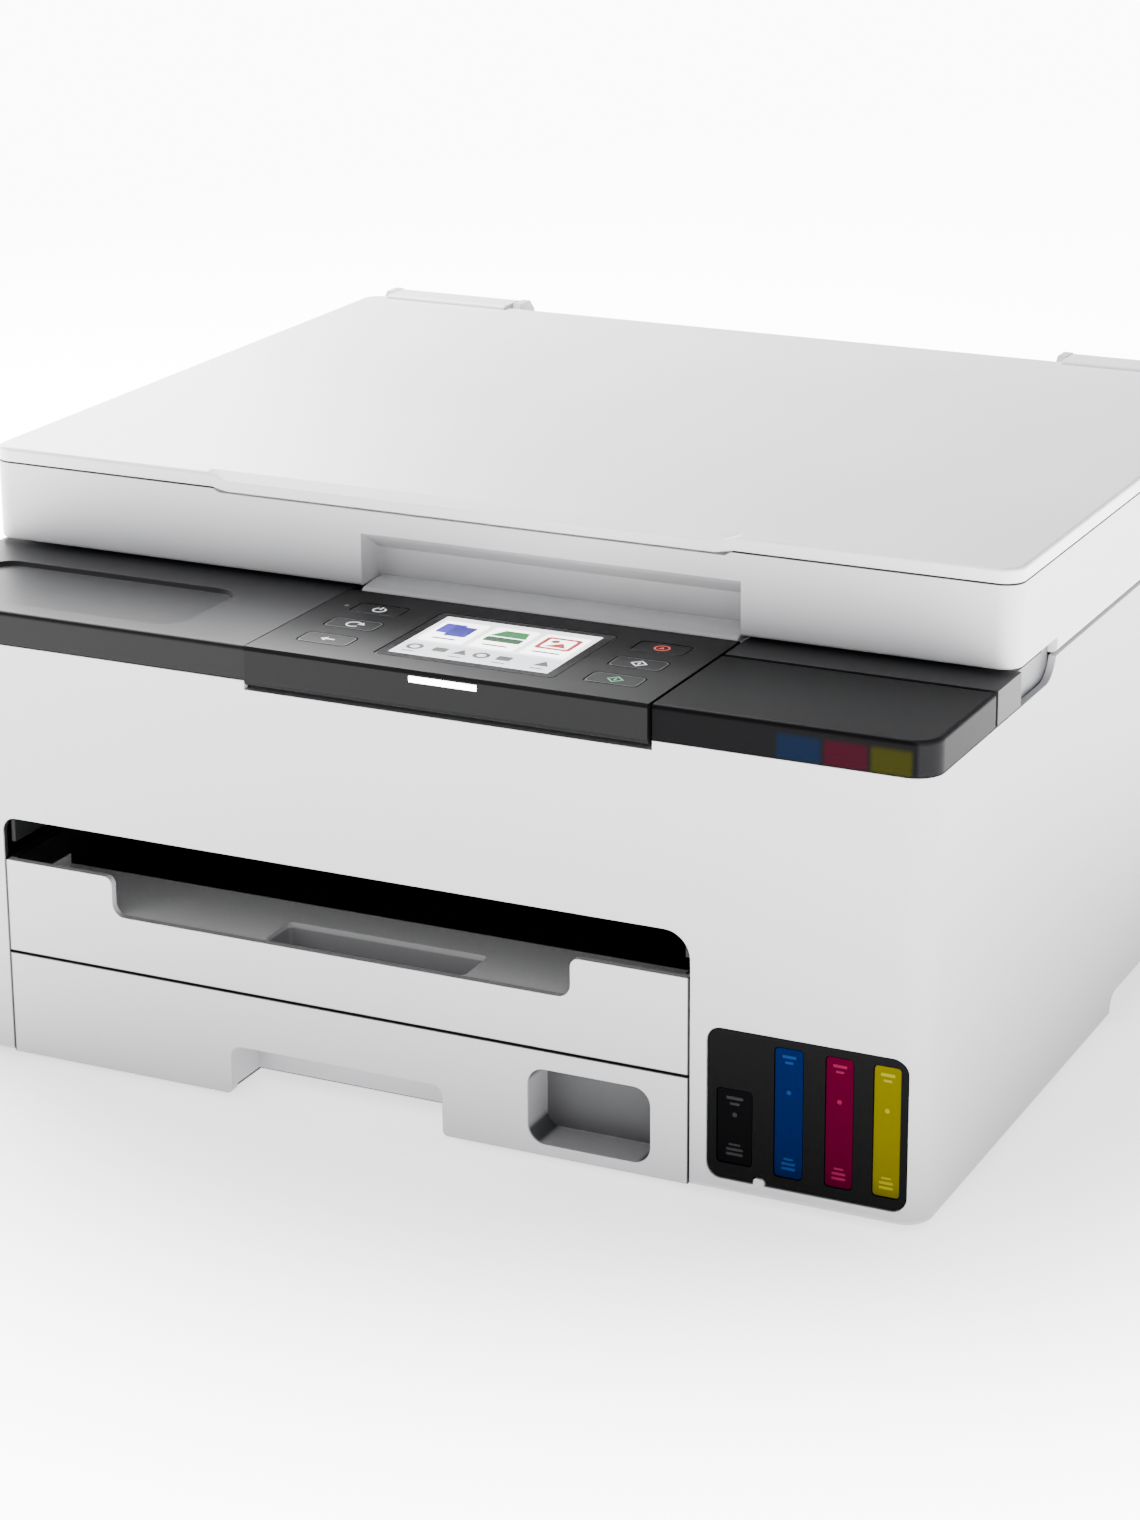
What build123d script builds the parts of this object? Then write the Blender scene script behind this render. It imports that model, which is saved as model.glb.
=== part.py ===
from build123d import *
import os

os.makedirs("parts", exist_ok=True)

# ------------------------------------------------------------------ driving dimensions (mm)
# frame: +Z up, front face towards -Y, origin at the centre of the footprint on the table
W = 374.0                 # overall width
HX = W / 2
YF = -188.0               # front face of the body
YR = 178.0                # rear face of the body
YC = (YF + YR) / 2
LY = YR - YF
Z0 = 3.0                  # bottom edge of the skirt above the table
Z_DECK = 147.6            # top of the front wall under the dark deck strip
Z_SIDE = 154.7            # top of the side walls under the scanner
Z_STRIP = 159.1           # top of the dark deck strip
T = 2.5                   # housing wall
R_BODY = 9.0              # vertical corner radius of the body
X1 = -45.1                # seam left cover / control panel
X2 = 96.1                 # seam control panel / tank cover
XO1, XO2 = -140.5, 109.5  # paper opening in the front wall
Z_OPEN = 87.4             # top of the paper opening
Z_TRAY = 72.4             # top of the output tray front
Z_SEAM = 39.7             # seam output tray / cassette
XW1, XW2, ZW1, ZW2 = 115.0, 181.3, 7.6, 58.1   # ink level window
Y_SC = -116.2             # front face of scanner and lid
Z_SCB = 160.3             # bottom of the scanner front
Z_SCT = 187.6             # top plate of the scanner
Z_LB, Z_LT = 188.1, 192.9 # lid bottom and top
Y_LID = 158.9             # rear edge of the lid
PX = -15.5                # centre line of the paper path

# ------------------------------------------------------------------ main housing
with BuildPart() as scoop_cut:
    # everything above the lower front walls, rising in a curve to the side walls
    with BuildSketch(Plane.YZ) as s:
        with BuildLine():
            Polyline((-200, 175), (-200, Z_DECK), (-77, Z_DECK), (-77, 175), (-200, 175))
        make_face()
        fillet(s.vertices().group_by(Axis.X)[-1].sort_by(Axis.Y)[0], radius=10)
    extrude(amount=210, both=True)

with BuildPart() as main_housing:
    with BuildSketch(Plane.XY.offset(Z0)):
        with Locations((0, YC)):
            RectangleRounded(W, LY, R_BODY)
    extrude(amount=Z_SIDE - Z0)
    fillet(main_housing.faces().sort_by(Axis.Z)[0].edges(), radius=2.2)
    with BuildSketch(Plane.XY.offset(Z0)):
        with Locations((0, YC)):
            RectangleRounded(W - 2 * T, LY - 2 * T, R_BODY - T)
    extrude(amount=200, mode=Mode.SUBTRACT)
    add(scoop_cut.part, mode=Mode.SUBTRACT)
    # lower edge below the control panel and a ledge that closes the bay under it
    with BuildSketch(Plane.XY.offset(144.6)):
        with Locations(((X1 + X2) / 2, -185)):
            Rectangle(X2 - X1 + 1.0, 30)
    extrude(amount=20, mode=Mode.SUBTRACT)
    with BuildSketch(Plane.XY.offset(142.6)):
        with Locations(((X1 + X2) / 2, (-186 - 110) / 2)):
            Rectangle(X2 - X1 + 6.0, 76)
    extrude(amount=2.0)
    with BuildSketch(Plane.XY.offset(140)):
        with Locations((26, -124)):
            RectangleRounded(44, 8, 2)
    extrude(amount=6, mode=Mode.SUBTRACT)
    # paper opening in the front, open to the bottom edge
    with BuildSketch(Plane.XZ.offset(190)) as s:
        with Locations(((XO1 + XO2) / 2, Z_OPEN / 2 - 5)):
            Rectangle(XO2 - XO1, Z_OPEN + 10)
        fillet(s.vertices().group_by(Axis.Z)[-1].sort_by(Axis.X)[-1], radius=9)
        fillet(s.vertices().group_by(Axis.Z)[-1].sort_by(Axis.X)[0], radius=5)
    extrude(amount=-7, mode=Mode.SUBTRACT)
    # ink level window
    with BuildSketch(Plane.XZ.offset(190)):
        with Locations(((XW1 + XW2) / 2, (ZW1 + ZW2) / 2)):
            RectangleRounded(XW2 - XW1, ZW2 - ZW1, 5)
    extrude(amount=-7, mode=Mode.SUBTRACT)
    with BuildSketch(Plane.XZ.offset(188)):
        with Locations((132.8, ZW1 + 0.6)):
            RectangleRounded(3.6, 3.2, 1.2)
    extrude(amount=-2.5)
    # rear wall: lowered top edge under the scanner hinge
    with BuildSketch(Plane.XY.offset(153.6)):
        with Locations((0, 178)):
            Rectangle(W - 24, 26)
    extrude(amount=10, mode=Mode.SUBTRACT)
    # rear wall: paper path cover, maintenance bay, power inlet, data sockets
    with BuildSketch(Plane.XZ.offset(-172)):
        with Locations((PX, 83.5)):
            RectangleRounded(186, 75, 4)
        with Locations((146, 26)):
            RectangleRounded(55, 30, 3)
        with Locations((-162, 27)):
            RectangleRounded(28.6, 24.6, 3)
        with Locations((-176.0, 86)):
            Rectangle(13.4, 13.4)
        with Locations((-174.6, 108)):
            Rectangle(16.2, 15.4)
    extrude(amount=-10, mode=Mode.SUBTRACT)
    # vent slots in the rear wall
    with BuildSketch(Plane.XZ.offset(-172)):
        with Locations((130, 110)):
            with GridLocations(9, 0, 9, 1):
                SlotOverall(44, 3.2, rotation=90)
    extrude(amount=-10, mode=Mode.SUBTRACT)
    # hand holds low on both side walls
    with BuildSketch(Plane.YZ.offset(-190)):
        with Locations((40, 3)):
            RectangleRounded(90, 16, 6)
    extrude(amount=380, mode=Mode.SUBTRACT)
main_housing.part.label = "main_housing"
export_step(main_housing.part, "parts/main_housing.step")

# ------------------------------------------------------------------ base frame with the cassette bay
with BuildPart() as base_frame:
    with BuildSketch(Plane.XY.offset(3.4)):
        with Locations((0, -4.5)):
            RectangleRounded(2 * 184.1, 359, 6)
    extrude(amount=1.8)
    # bay side walls and rear stop wall
    with BuildSketch(Plane.XY.offset(5.0)):
        with Locations((-142.2, -20), (111.2, -20)):
            Rectangle(2.0, 326)
    extrude(amount=64.5)
    with BuildSketch(Plane.XY.offset(5.0)):
        with Locations((PX, 142)):
            Rectangle(255.4, 2.0)
    extrude(amount=34.0)
    # rails that carry the output tray above the cassette
    with BuildSketch(Plane.XY.offset(44.0)):
        with Locations((-140.7, -100), (109.7, -100)):
            Rectangle(1.2, 160)
    extrude(amount=2.0)
    # runners under the cassette
    with BuildSketch(Plane.XY.offset(5.0)):
        with Locations((-120, -20), (90, -20)):
            Rectangle(6, 300)
    extrude(amount=0.5)
    # open notch below the grip of the cassette
    with BuildSketch(Plane.XY.offset(0)):
        with Locations((-16, -178)):
            Rectangle(82, 24)
    extrude(amount=8, mode=Mode.SUBTRACT)
    # hollow for a hand on each side
    with BuildSketch(Plane.XY.offset(0)):
        with Locations((-184, 40), (184, 40)):
            Rectangle(16, 90)
    extrude(amount=8, mode=Mode.SUBTRACT)
base_frame.part.label = "base_frame"
export_step(base_frame.part, "parts/base_frame.step")

# ------------------------------------------------------------------ feet
with BuildPart() as rubber_feet:
    with BuildSketch(Plane.XY):
        with Locations((-160, -160), (160, -160), (-160, 150), (160, 150)):
            Circle(9)
    extrude(amount=3.4)
    chamfer(rubber_feet.faces().group_by(Axis.Z)[0].edges(), length=0.8)
rubber_feet.part.label = "rubber_feet"
export_step(rubber_feet.part, "parts/rubber_feet.step")

# ------------------------------------------------------------------ left deck cover with a shallow tray
with BuildPart() as left_top_cover:
    with BuildSketch(Plane.XY.offset(Z_DECK + 0.4)) as s:
        with Locations(((-HX + X1 - 0.4) / 2, (YF - 111) / 2)):
            Rectangle(X1 - 0.4 + HX, -111 - YF)
        fillet(s.vertices().group_by(Axis.X)[0].sort_by(Axis.Y)[0], radius=R_BODY)
    extrude(amount=Z_STRIP - Z_DECK - 0.4)
    fillet(left_top_cover.faces().sort_by(Axis.Z)[-1].edges().filter_by(Axis.X).sort_by(Axis.Y)[0], radius=1.6)
    # shell underneath
    with BuildSketch(Plane.XY.offset(Z_DECK)):
        with Locations(((-HX + X1 - 0.4) / 2, (YF - 111) / 2)):
            RectangleRounded(X1 - 0.4 + HX - 4.4, -111 - YF - 4.4, 5)
    extrude(amount=7.6, mode=Mode.SUBTRACT)
    # shallow tray pressed into the top
    with BuildSketch(Plane.XY.offset(Z_STRIP)):
        with Locations((-124, -157)):
            RectangleRounded(96, 44, 9)
    extrude(amount=-1.6, taper=35, mode=Mode.SUBTRACT)
left_top_cover.part.label = "left_top_cover"
export_step(left_top_cover.part, "parts/left_top_cover.step")

# ------------------------------------------------------------------ filler deck: well around the tank necks, rear trim
with BuildPart() as filler_deck:
    with BuildSketch(Plane.XY.offset(119.0)):
        with Locations((147.6, -155.9)):
            Rectangle(71.2, 47.2)
    extrude(amount=1.8)
    # well walls up to the deck line
    with BuildSketch(Plane.XY.offset(119.0)):
        with Locations((113.0, -158.5)):
            Rectangle(2.0, 52.6)
        with Locations((147.6, -133.2)):
            Rectangle(71.2, 2.0)
    extrude(amount=28.0)
    # rear trim, flush with the tank cover
    with BuildSketch(Plane.XY.offset(Z_DECK + 0.4)):
        with Locations(((X2 + 0.4 + HX) / 2, (-132.5 - 111) / 2)):
            Rectangle(HX - X2 - 0.4, 21.5)
    extrude(amount=Z_STRIP - Z_DECK - 0.4)
    with BuildSketch(Plane.XY.offset(Z_DECK)):
        with Locations(((X2 + 0.4 + HX) / 2, (-130.3 - 113) / 2)):
            Rectangle(HX - X2 - 4.8, 17.3)
    extrude(amount=9.3, mode=Mode.SUBTRACT)
    with BuildSketch(Plane.XY.offset(145)):
        with Locations((148.0, -133.2)):
            Rectangle(72.0, 2.0)
    extrude(amount=5.0)
    # holes for the necks
    with BuildSketch(Plane.XY.offset(118)):
        with Locations((123.4, -157), (142.3, -157), (158.3, -157), (175.0, -157)):
            Circle(7.0)
    extrude(amount=5, mode=Mode.SUBTRACT)
    # hinge cheeks beside every cap
    with BuildSketch(Plane.XY.offset(120.0)):
        with Locations((116.2, -140), (130.6, -140), (136.2, -140), (148.4, -140), (152.2, -140), (164.4, -140), (168.9, -140), (181.1, -140)):
            Rectangle(1.0, 7)
    extrude(amount=8.5)
    with BuildSketch(Plane.YZ.offset(110)):
        with Locations((-140, 126)):
            Circle(1.55)
    extrude(amount=76, mode=Mode.SUBTRACT)
filler_deck.part.label = "filler_deck"
export_step(filler_deck.part, "parts/filler_deck.step")

# ------------------------------------------------------------------ tank cover, hinged along its rear edge
with BuildPart() as tank_cover:
    with BuildSketch(Plane.XY.offset(Z_DECK + 0.4)) as s:
        with Locations(((X2 + 0.4 + HX) / 2, (YF - 133.6) / 2)):
            Rectangle(HX - X2 - 0.4, -133.6 - YF)
        fillet(s.vertices().group_by(Axis.X)[-1].sort_by(Axis.Y)[0], radius=R_BODY)
    extrude(amount=Z_STRIP - Z_DECK - 0.4)
    fillet(tank_cover.faces().sort_by(Axis.Z)[-1].edges().filter_by(Axis.X).sort_by(Axis.Y)[0], radius=1.6)
    fillet(tank_cover.faces().sort_by(Axis.Z)[-1].edges().filter_by(Axis.X).sort_by(Axis.Y)[-1], radius=1.2)
    with BuildSketch(Plane.XY.offset(Z_DECK)) as s:
        with Locations(((X2 + 2.4 + HX - 2.0) / 2, (YF + 2.0 - 120) / 2)):
            Rectangle(HX - 2.0 - X2 - 2.4, -120 - YF - 2.0)
        fillet(s.vertices().group_by(Axis.X)[-1].sort_by(Axis.Y)[0], radius=R_BODY - 2)
    extrude(amount=9.7, mode=Mode.SUBTRACT)
tank_cover.part.label = "tank_cover"
export_step(tank_cover.part, "parts/tank_cover.step")

# ------------------------------------------------------------------ side grip trims in the scoops below the scanner
with BuildPart() as grip_trims:
    with BuildSketch(Plane.YZ.offset(172)) as s:
        with BuildLine():
            Polyline((-110.6, 145.0), (-78.5, 145.0), (-78.5, 159.4), (-84, 159.4), (-84, 157.6), (-110.6, 157.6), (-110.6, 145.0))
        make_face()
    extrude(amount=12.3)
    mirror(about=Plane.YZ)
grip_trims.part.label = "grip_trims"
export_step(grip_trims.part, "parts/grip_trims.step")

# ------------------------------------------------------------------ control panel, tilts up about its front lower edge
PZB, PZT = 146.1, 159.4
PY1, PY2 = -189.5, -118.0
PXA, PXB = X1 + 0.4, X2 - 0.4
PXC = (PXA + PXB) / 2
KEYX1, KEYX2 = -24.5, 76.5
KEYY = (-136.0, -153.5, -171.0)
KW, KD = 18.0, 10.0
with BuildPart() as control_panel:
    with BuildSketch(Plane.XY.offset(PZB)):
        with Locations((PXC, (PY1 + PY2) / 2)):
            Rectangle(PXB - PXA, PY2 - PY1)
    extrude(amount=PZT - PZB)
    fillet(control_panel.edges().filter_by(Axis.X).group_by(Axis.Y)[0].sort_by(Axis.Z)[0], radius=2.4)
    chamfer(control_panel.edges().filter_by(Axis.X).group_by(Axis.Y)[0].sort_by(Axis.Z)[-1], length=1.1)
    fillet(control_panel.edges().filter_by(Axis.X).group_by(Axis.Y)[-1].sort_by(Axis.Z)[-1], radius=1.0)
    # hollow inside, with the mouth for the flat cable underneath
    with BuildSketch(Plane.XY.offset(148.3)):
        with Locations((PXC, -152.5)):
            Rectangle(PXB - PXA - 4.4, 63)
    extrude(amount=7.0, mode=Mode.SUBTRACT)
    with BuildSketch(Plane.XY.offset(145)):
        with Locations((26, -126)):
            RectangleRounded(34, 6, 2)
    extrude(amount=6, mode=Mode.SUBTRACT)
    # seat of the touch screen
    with BuildSketch(Plane.XY.offset(PZT)):
        with Locations((27.1, -153.9)):
            RectangleRounded(63.2, 48.6, 2)
    extrude(amount=-1.9, mode=Mode.SUBTRACT)
    # seats of the keys
    with BuildSketch(Plane.XY.offset(PZT)):
        with Locations((KEYX1, KEYY[0]), (KEYX1, KEYY[1]), (KEYX1, KEYY[2]), (KEYX2, KEYY[0]), (KEYX2, KEYY[1]), (KEYX2, KEYY[2])):
            RectangleRounded(KW + 0.6, KD + 0.6, 2.3)
    extrude(amount=-2.4, mode=Mode.SUBTRACT)
    # seat of the status light in the front edge
    with BuildSketch(Plane.XZ.offset(190)):
        with Locations((26.1, 156.6)):
            Rectangle(23.9, 2.3)
    extrude(amount=-2.3, mode=Mode.SUBTRACT)
control_panel.part.label = "control_panel"
export_step(control_panel.part, "parts/control_panel.step")

with BuildPart() as touch_screen:
    with BuildSketch(Plane.XY.offset(PZT - 1.8)):
        with Locations((27.1, -153.9)):
            RectangleRounded(62.8, 48.2, 1.8)
    extrude(amount=1.8)
    chamfer(touch_screen.faces().sort_by(Axis.Z)[-1].edges(), length=0.25)
touch_screen.part.label = "touch_screen"
export_step(touch_screen.part, "parts/touch_screen.step")

with BuildPart() as status_light:
    with BuildSketch(Plane.XZ.offset(189.4)):
        with Locations((26.1, 156.6)):
            Rectangle(23.5, 1.9)
    extrude(amount=-1.5)
status_light.part.label = "status_light"
export_step(status_light.part, "parts/status_light.step")

# keys: flush caps with a slight cushion
with BuildPart() as power_key:
    with BuildSketch(Plane.XY.offset(PZT - 1.6)):
        with Locations((KEYX1, KEYY[0])):
            RectangleRounded(KW, KD, 2.0)
    extrude(amount=1.6)
    fillet(power_key.faces().sort_by(Axis.Z)[-1].edges(), radius=0.4)
power_key.part.label = "power_key"
export_step(power_key.part, "parts/power_key.step")

with BuildPart() as home_key:
    with BuildSketch(Plane.XY.offset(PZT - 1.6)):
        with Locations((KEYX1, KEYY[1])):
            RectangleRounded(KW, KD, 2.0)
    extrude(amount=1.6)
    fillet(home_key.faces().sort_by(Axis.Z)[-1].edges(), radius=0.4)
home_key.part.label = "home_key"
export_step(home_key.part, "parts/home_key.step")

with BuildPart() as back_key:
    with BuildSketch(Plane.XY.offset(PZT - 1.6)):
        with Locations((KEYX1, KEYY[2])):
            RectangleRounded(KW, KD, 2.0)
    extrude(amount=1.6)
    fillet(back_key.faces().sort_by(Axis.Z)[-1].edges(), radius=0.4)
back_key.part.label = "back_key"
export_step(back_key.part, "parts/back_key.step")

with BuildPart() as stop_key:
    with BuildSketch(Plane.XY.offset(PZT - 1.6)):
        with Locations((KEYX2, KEYY[0])):
            RectangleRounded(KW, KD, 2.0)
    extrude(amount=1.6)
    fillet(stop_key.faces().sort_by(Axis.Z)[-1].edges(), radius=0.4)
stop_key.part.label = "stop_key"
export_step(stop_key.part, "parts/stop_key.step")

with BuildPart() as mono_start_key:
    with BuildSketch(Plane.XY.offset(PZT - 1.6)):
        with Locations((KEYX2, KEYY[1])):
            RectangleRounded(KW, KD, 2.0)
    extrude(amount=1.6)
    fillet(mono_start_key.faces().sort_by(Axis.Z)[-1].edges(), radius=0.4)
mono_start_key.part.label = "mono_start_key"
export_step(mono_start_key.part, "parts/mono_start_key.step")

with BuildPart() as colour_start_key:
    with BuildSketch(Plane.XY.offset(PZT - 1.6)):
        with Locations((KEYX2, KEYY[2])):
            RectangleRounded(KW, KD, 2.0)
    extrude(amount=1.6)
    fillet(colour_start_key.faces().sort_by(Axis.Z)[-1].edges(), radius=0.4)
colour_start_key.part.label = "colour_start_key"
export_step(colour_start_key.part, "parts/colour_start_key.step")

# ------------------------------------------------------------------ scanner housing
SXA, SXB = -41.9, 94.8    # finger recess in the scanner front
with BuildPart() as scanner_housing:
    with BuildSketch(Plane.XY.offset(155.3)):
        with Locations((0, (Y_SC + YR) / 2)):
            RectangleRounded(W, YR - Y_SC, 7)
    extrude(amount=Z_SCT - 155.3)
    # rounded rear lower edge around the hinge line
    fillet(scanner_housing.edges().filter_by(Axis.X).group_by(Axis.Y)[-1].sort_by(Axis.Z)[0], radius=2.0)
    # raised underside over the front deck
    with BuildSketch(Plane.XY.offset(150)):
        with Locations((0, -130)):
            Rectangle(W + 20, 2 * 53.5)
    extrude(amount=Z_SCB - 150, mode=Mode.SUBTRACT)
    # hollow inside
    with BuildSketch(Plane.XY.offset(157.8)):
        with Locations((0, (-74 + 175.5) / 2)):
            RectangleRounded(W - 2 * T, 249.5, 4)
    extrude(amount=27.4, mode=Mode.SUBTRACT)
    with BuildSketch(Plane.XY.offset(162.8)):
        with Locations((0, -85)):
            Rectangle(W - 2 * T, 30)
        with Locations(((-184.5 - 45) / 2, -105)):
            Rectangle(139.5, 17.4)
        with Locations(((98 + 184.5) / 2, -105)):
            Rectangle(86.5, 17.4)
    extrude(amount=22.4, mode=Mode.SUBTRACT)
    # opening over the glass
    with BuildSketch(Plane.XY.offset(180)):
        with Locations((0, 47)):
            RectangleRounded(302, 218, 2)
    extrude(amount=20, mode=Mode.SUBTRACT)
    # finger recess in the front: sloped roof and upright back wall
    with BuildSketch(Plane.YZ.offset(SXA)):
        with BuildLine():
            Polyline((-120, 150), (-120, 180.4), (-116.2, 178.3), (-103.5, 170.6), (-102.6, 150), (-120, 150))
        make_face()
    extrude(amount=SXB - SXA, mode=Mode.SUBTRACT)
    # notch for the finger lip of the lid
    with BuildSketch(Plane.XZ.offset(120)):
        with BuildLine():
            Polyline((-103, 190), (-96, 186.2), (89, 186.2), (96, 190), (-103, 190))
        make_face()
    extrude(amount=-8.0, mode=Mode.SUBTRACT)
    # troughs for the lid hinges
    with BuildSketch(Plane.XY.offset(180.4)):
        with Locations((-150.5, 169), (136.5, 169)):
            Rectangle(64, 18)
    extrude(amount=7.2)
    with BuildSketch(Plane.XY.offset(182.8)):
        with Locations((-150.5, 169.6), (136.5, 169.6)):
            Rectangle(54.4, 19.4)
    extrude(amount=10, mode=Mode.SUBTRACT)
    fillet(scanner_housing.edges().filter_by(Axis.X).group_by(Axis.Y)[0].group_by(Axis.Z)[0], radius=0.8)
scanner_housing.part.label = "scanner_housing"
export_step(scanner_housing.part, "parts/scanner_housing.step")

with BuildPart() as platen_glass:
    with BuildSketch(Plane.XY.offset(182.9)):
        with Locations((0, 46)):
            RectangleRounded(310, 221, 2)
    extrude(amount=2.2)
platen_glass.part.label = "platen_glass"
export_step(platen_glass.part, "parts/platen_glass.step")

# rod that carries the scan bar, held by two posts
with BuildPart() as scan_rail:
    with BuildSketch(Plane.YZ.offset(-176)):
        with Locations((46, 167)):
            Circle(3.0)
    extrude(amount=352)
    with BuildSketch(Plane.XY.offset(158.0)):
        with Locations((-179, 46), (179, 46)):
            RectangleRounded(8, 14, 1.5)
    extrude(amount=13)
scan_rail.part.label = "scan_rail"
export_step(scan_rail.part, "parts/scan_rail.step")

# scan bar: a trough across the bed, running on the rod
with BuildPart() as scan_bar:
    with BuildSketch(Plane.XY.offset(171.0)):
        with Locations((-158, 46)):
            RectangleRounded(18, 224, 2)
    extrude(amount=11.0)
    with BuildSketch(Plane.XY.offset(176.0)):
        with Locations((-158, 46)):
            Rectangle(11, 217)
    extrude(amount=10, mode=Mode.SUBTRACT)
    with BuildSketch(Plane.XY.offset(162.0)):
        with Locations((-158, 46)):
            RectangleRounded(30, 16, 2)
    extrude(amount=12)
    with BuildSketch(Plane.YZ.offset(-180)):
        with Locations((46, 167)):
            Circle(3.06)
    extrude(amount=60, mode=Mode.SUBTRACT)
scan_bar.part.label = "scan_bar"
export_step(scan_bar.part, "parts/scan_bar.step")

# ------------------------------------------------------------------ lid
LAY, LAZ = 166.0, 189.0   # lid hinge axis
with BuildPart() as lip_cut:
    with BuildSketch(Plane.XZ.offset(120)):
        with BuildLine():
            Polyline((-103, 193.6), (-93, 190.3), (86, 190.3), (96, 193.6), (-103, 193.6))
        make_face()
    extrude(amount=-10)
    with BuildSketch(Plane.YZ.offset(-110)):
        with BuildLine():
            Polyline((-121, 193.6), (-121, 190.3), (-116.4, 190.3), (-111.4, 193.0), (-111.2, 193.6), (-121, 193.6))
        make_face()
    extrude(amount=220, mode=Mode.INTERSECT)

with BuildPart() as document_lid:
    with BuildSketch(Plane.XY.offset(Z_LB)):
        with Locations((0, (Y_SC + Y_LID) / 2)):
            RectangleRounded(W, Y_LID - Y_SC, 7)
    extrude(amount=Z_LT - Z_LB)
    fillet(document_lid.faces().sort_by(Axis.Z)[-1].edges(), radius=1.3)
    # hollow underside inside the rim
    with BuildSketch(Plane.XY.offset(Z_LB - 1)):
        with Locations((0, (Y_SC + Y_LID) / 2)):
            RectangleRounded(W - 8, Y_LID - Y_SC - 8, 4)
    extrude(amount=3.4, mode=Mode.SUBTRACT)
    # finger lip in the middle of the front edge
    add(lip_cut.part, mode=Mode.SUBTRACT)
    with BuildSketch(Plane.XZ.offset(-Y_SC)):
        with BuildLine():
            Polyline((-100, 188.4), (-93, 186.9), (86, 186.9), (93, 188.4), (-100, 188.4))
        make_face()
    extrude(amount=-2.6)
    # hinge arms
    with BuildSketch(Plane.YZ.offset(-177)) as s:
        with BuildLine():
            Polyline((153, 191.5), (154.5, 194.2), (168.2, 194.2), (171.2, 191.2), (171.2, 186.4), (168.4, 183.8), (163.6, 183.8), (160.8, 186.6), (160.8, 191.5), (153, 191.5))
        make_face()
        fillet(s.vertices().sort_by(Axis.Y)[-2:], radius=2.0)
    extrude(amount=53)
    with BuildSketch(Plane.YZ.offset(110)) as s:
        with BuildLine():
            Polyline((153, 191.5), (154.5, 194.2), (168.2, 194.2), (171.2, 191.2), (171.2, 186.4), (168.4, 183.8), (163.6, 183.8), (160.8, 186.6), (160.8, 191.5), (153, 191.5))
        make_face()
        fillet(s.vertices().sort_by(Axis.Y)[-2:], radius=2.0)
    extrude(amount=53)
    with BuildSketch(Plane.YZ.offset(-185)):
        with Locations((LAY, LAZ)):
            Circle(2.06)
    extrude(amount=370, mode=Mode.SUBTRACT)
document_lid.part.label = "document_lid"
export_step(document_lid.part, "parts/document_lid.step")

with BuildPart() as pressure_pad:
    with BuildSketch(Plane.XY.offset(185.6)):
        with Locations((0, 47)):
            RectangleRounded(296, 212, 3)
    extrude(amount=4.8)
    fillet(pressure_pad.faces().sort_by(Axis.Z)[0].edges(), radius=0.8)
pressure_pad.part.label = "pressure_pad"
export_step(pressure_pad.part, "parts/pressure_pad.step")

# hinge brackets with their pins
with BuildPart() as lid_hinges:
    with BuildSketch(Plane.YZ.offset(-181.2)):
        with BuildLine():
            Polyline((159.6, Z_SCT), (159.6, 192), (162, 194.2), (169.5, 194.2), (173.5, 190), (173.5, Z_SCT), (159.6, Z_SCT))
        make_face()
    extrude(amount=3.6)
    with BuildSketch(Plane.YZ.offset(-123.4)):
        with BuildLine():
            Polyline((159.6, Z_SCT), (159.6, 192), (162, 194.2), (169.5, 194.2), (173.5, 190), (173.5, Z_SCT), (159.6, Z_SCT))
        make_face()
    extrude(amount=3.6)
    with BuildSketch(Plane.YZ.offset(105.8)):
        with BuildLine():
            Polyline((159.6, Z_SCT), (159.6, 192), (162, 194.2), (169.5, 194.2), (173.5, 190), (173.5, Z_SCT), (159.6, Z_SCT))
        make_face()
    extrude(amount=3.6)
    with BuildSketch(Plane.YZ.offset(163.6)):
        with BuildLine():
            Polyline((159.6, Z_SCT), (159.6, 192), (162, 194.2), (169.5, 194.2), (173.5, 190), (173.5, Z_SCT), (159.6, Z_SCT))
        make_face()
    extrude(amount=3.6)
    with BuildSketch(Plane.YZ.offset(-177.68)):
        with Locations((LAY, LAZ)):
            Circle(2.0)
    extrude(amount=54.36)
    with BuildSketch(Plane.YZ.offset(109.32)):
        with Locations((LAY, LAZ)):
            Circle(2.0)
    extrude(amount=54.36)
lid_hinges.part.label = "lid_hinges"
export_step(lid_hinges.part, "parts/lid_hinges.step")

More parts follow.
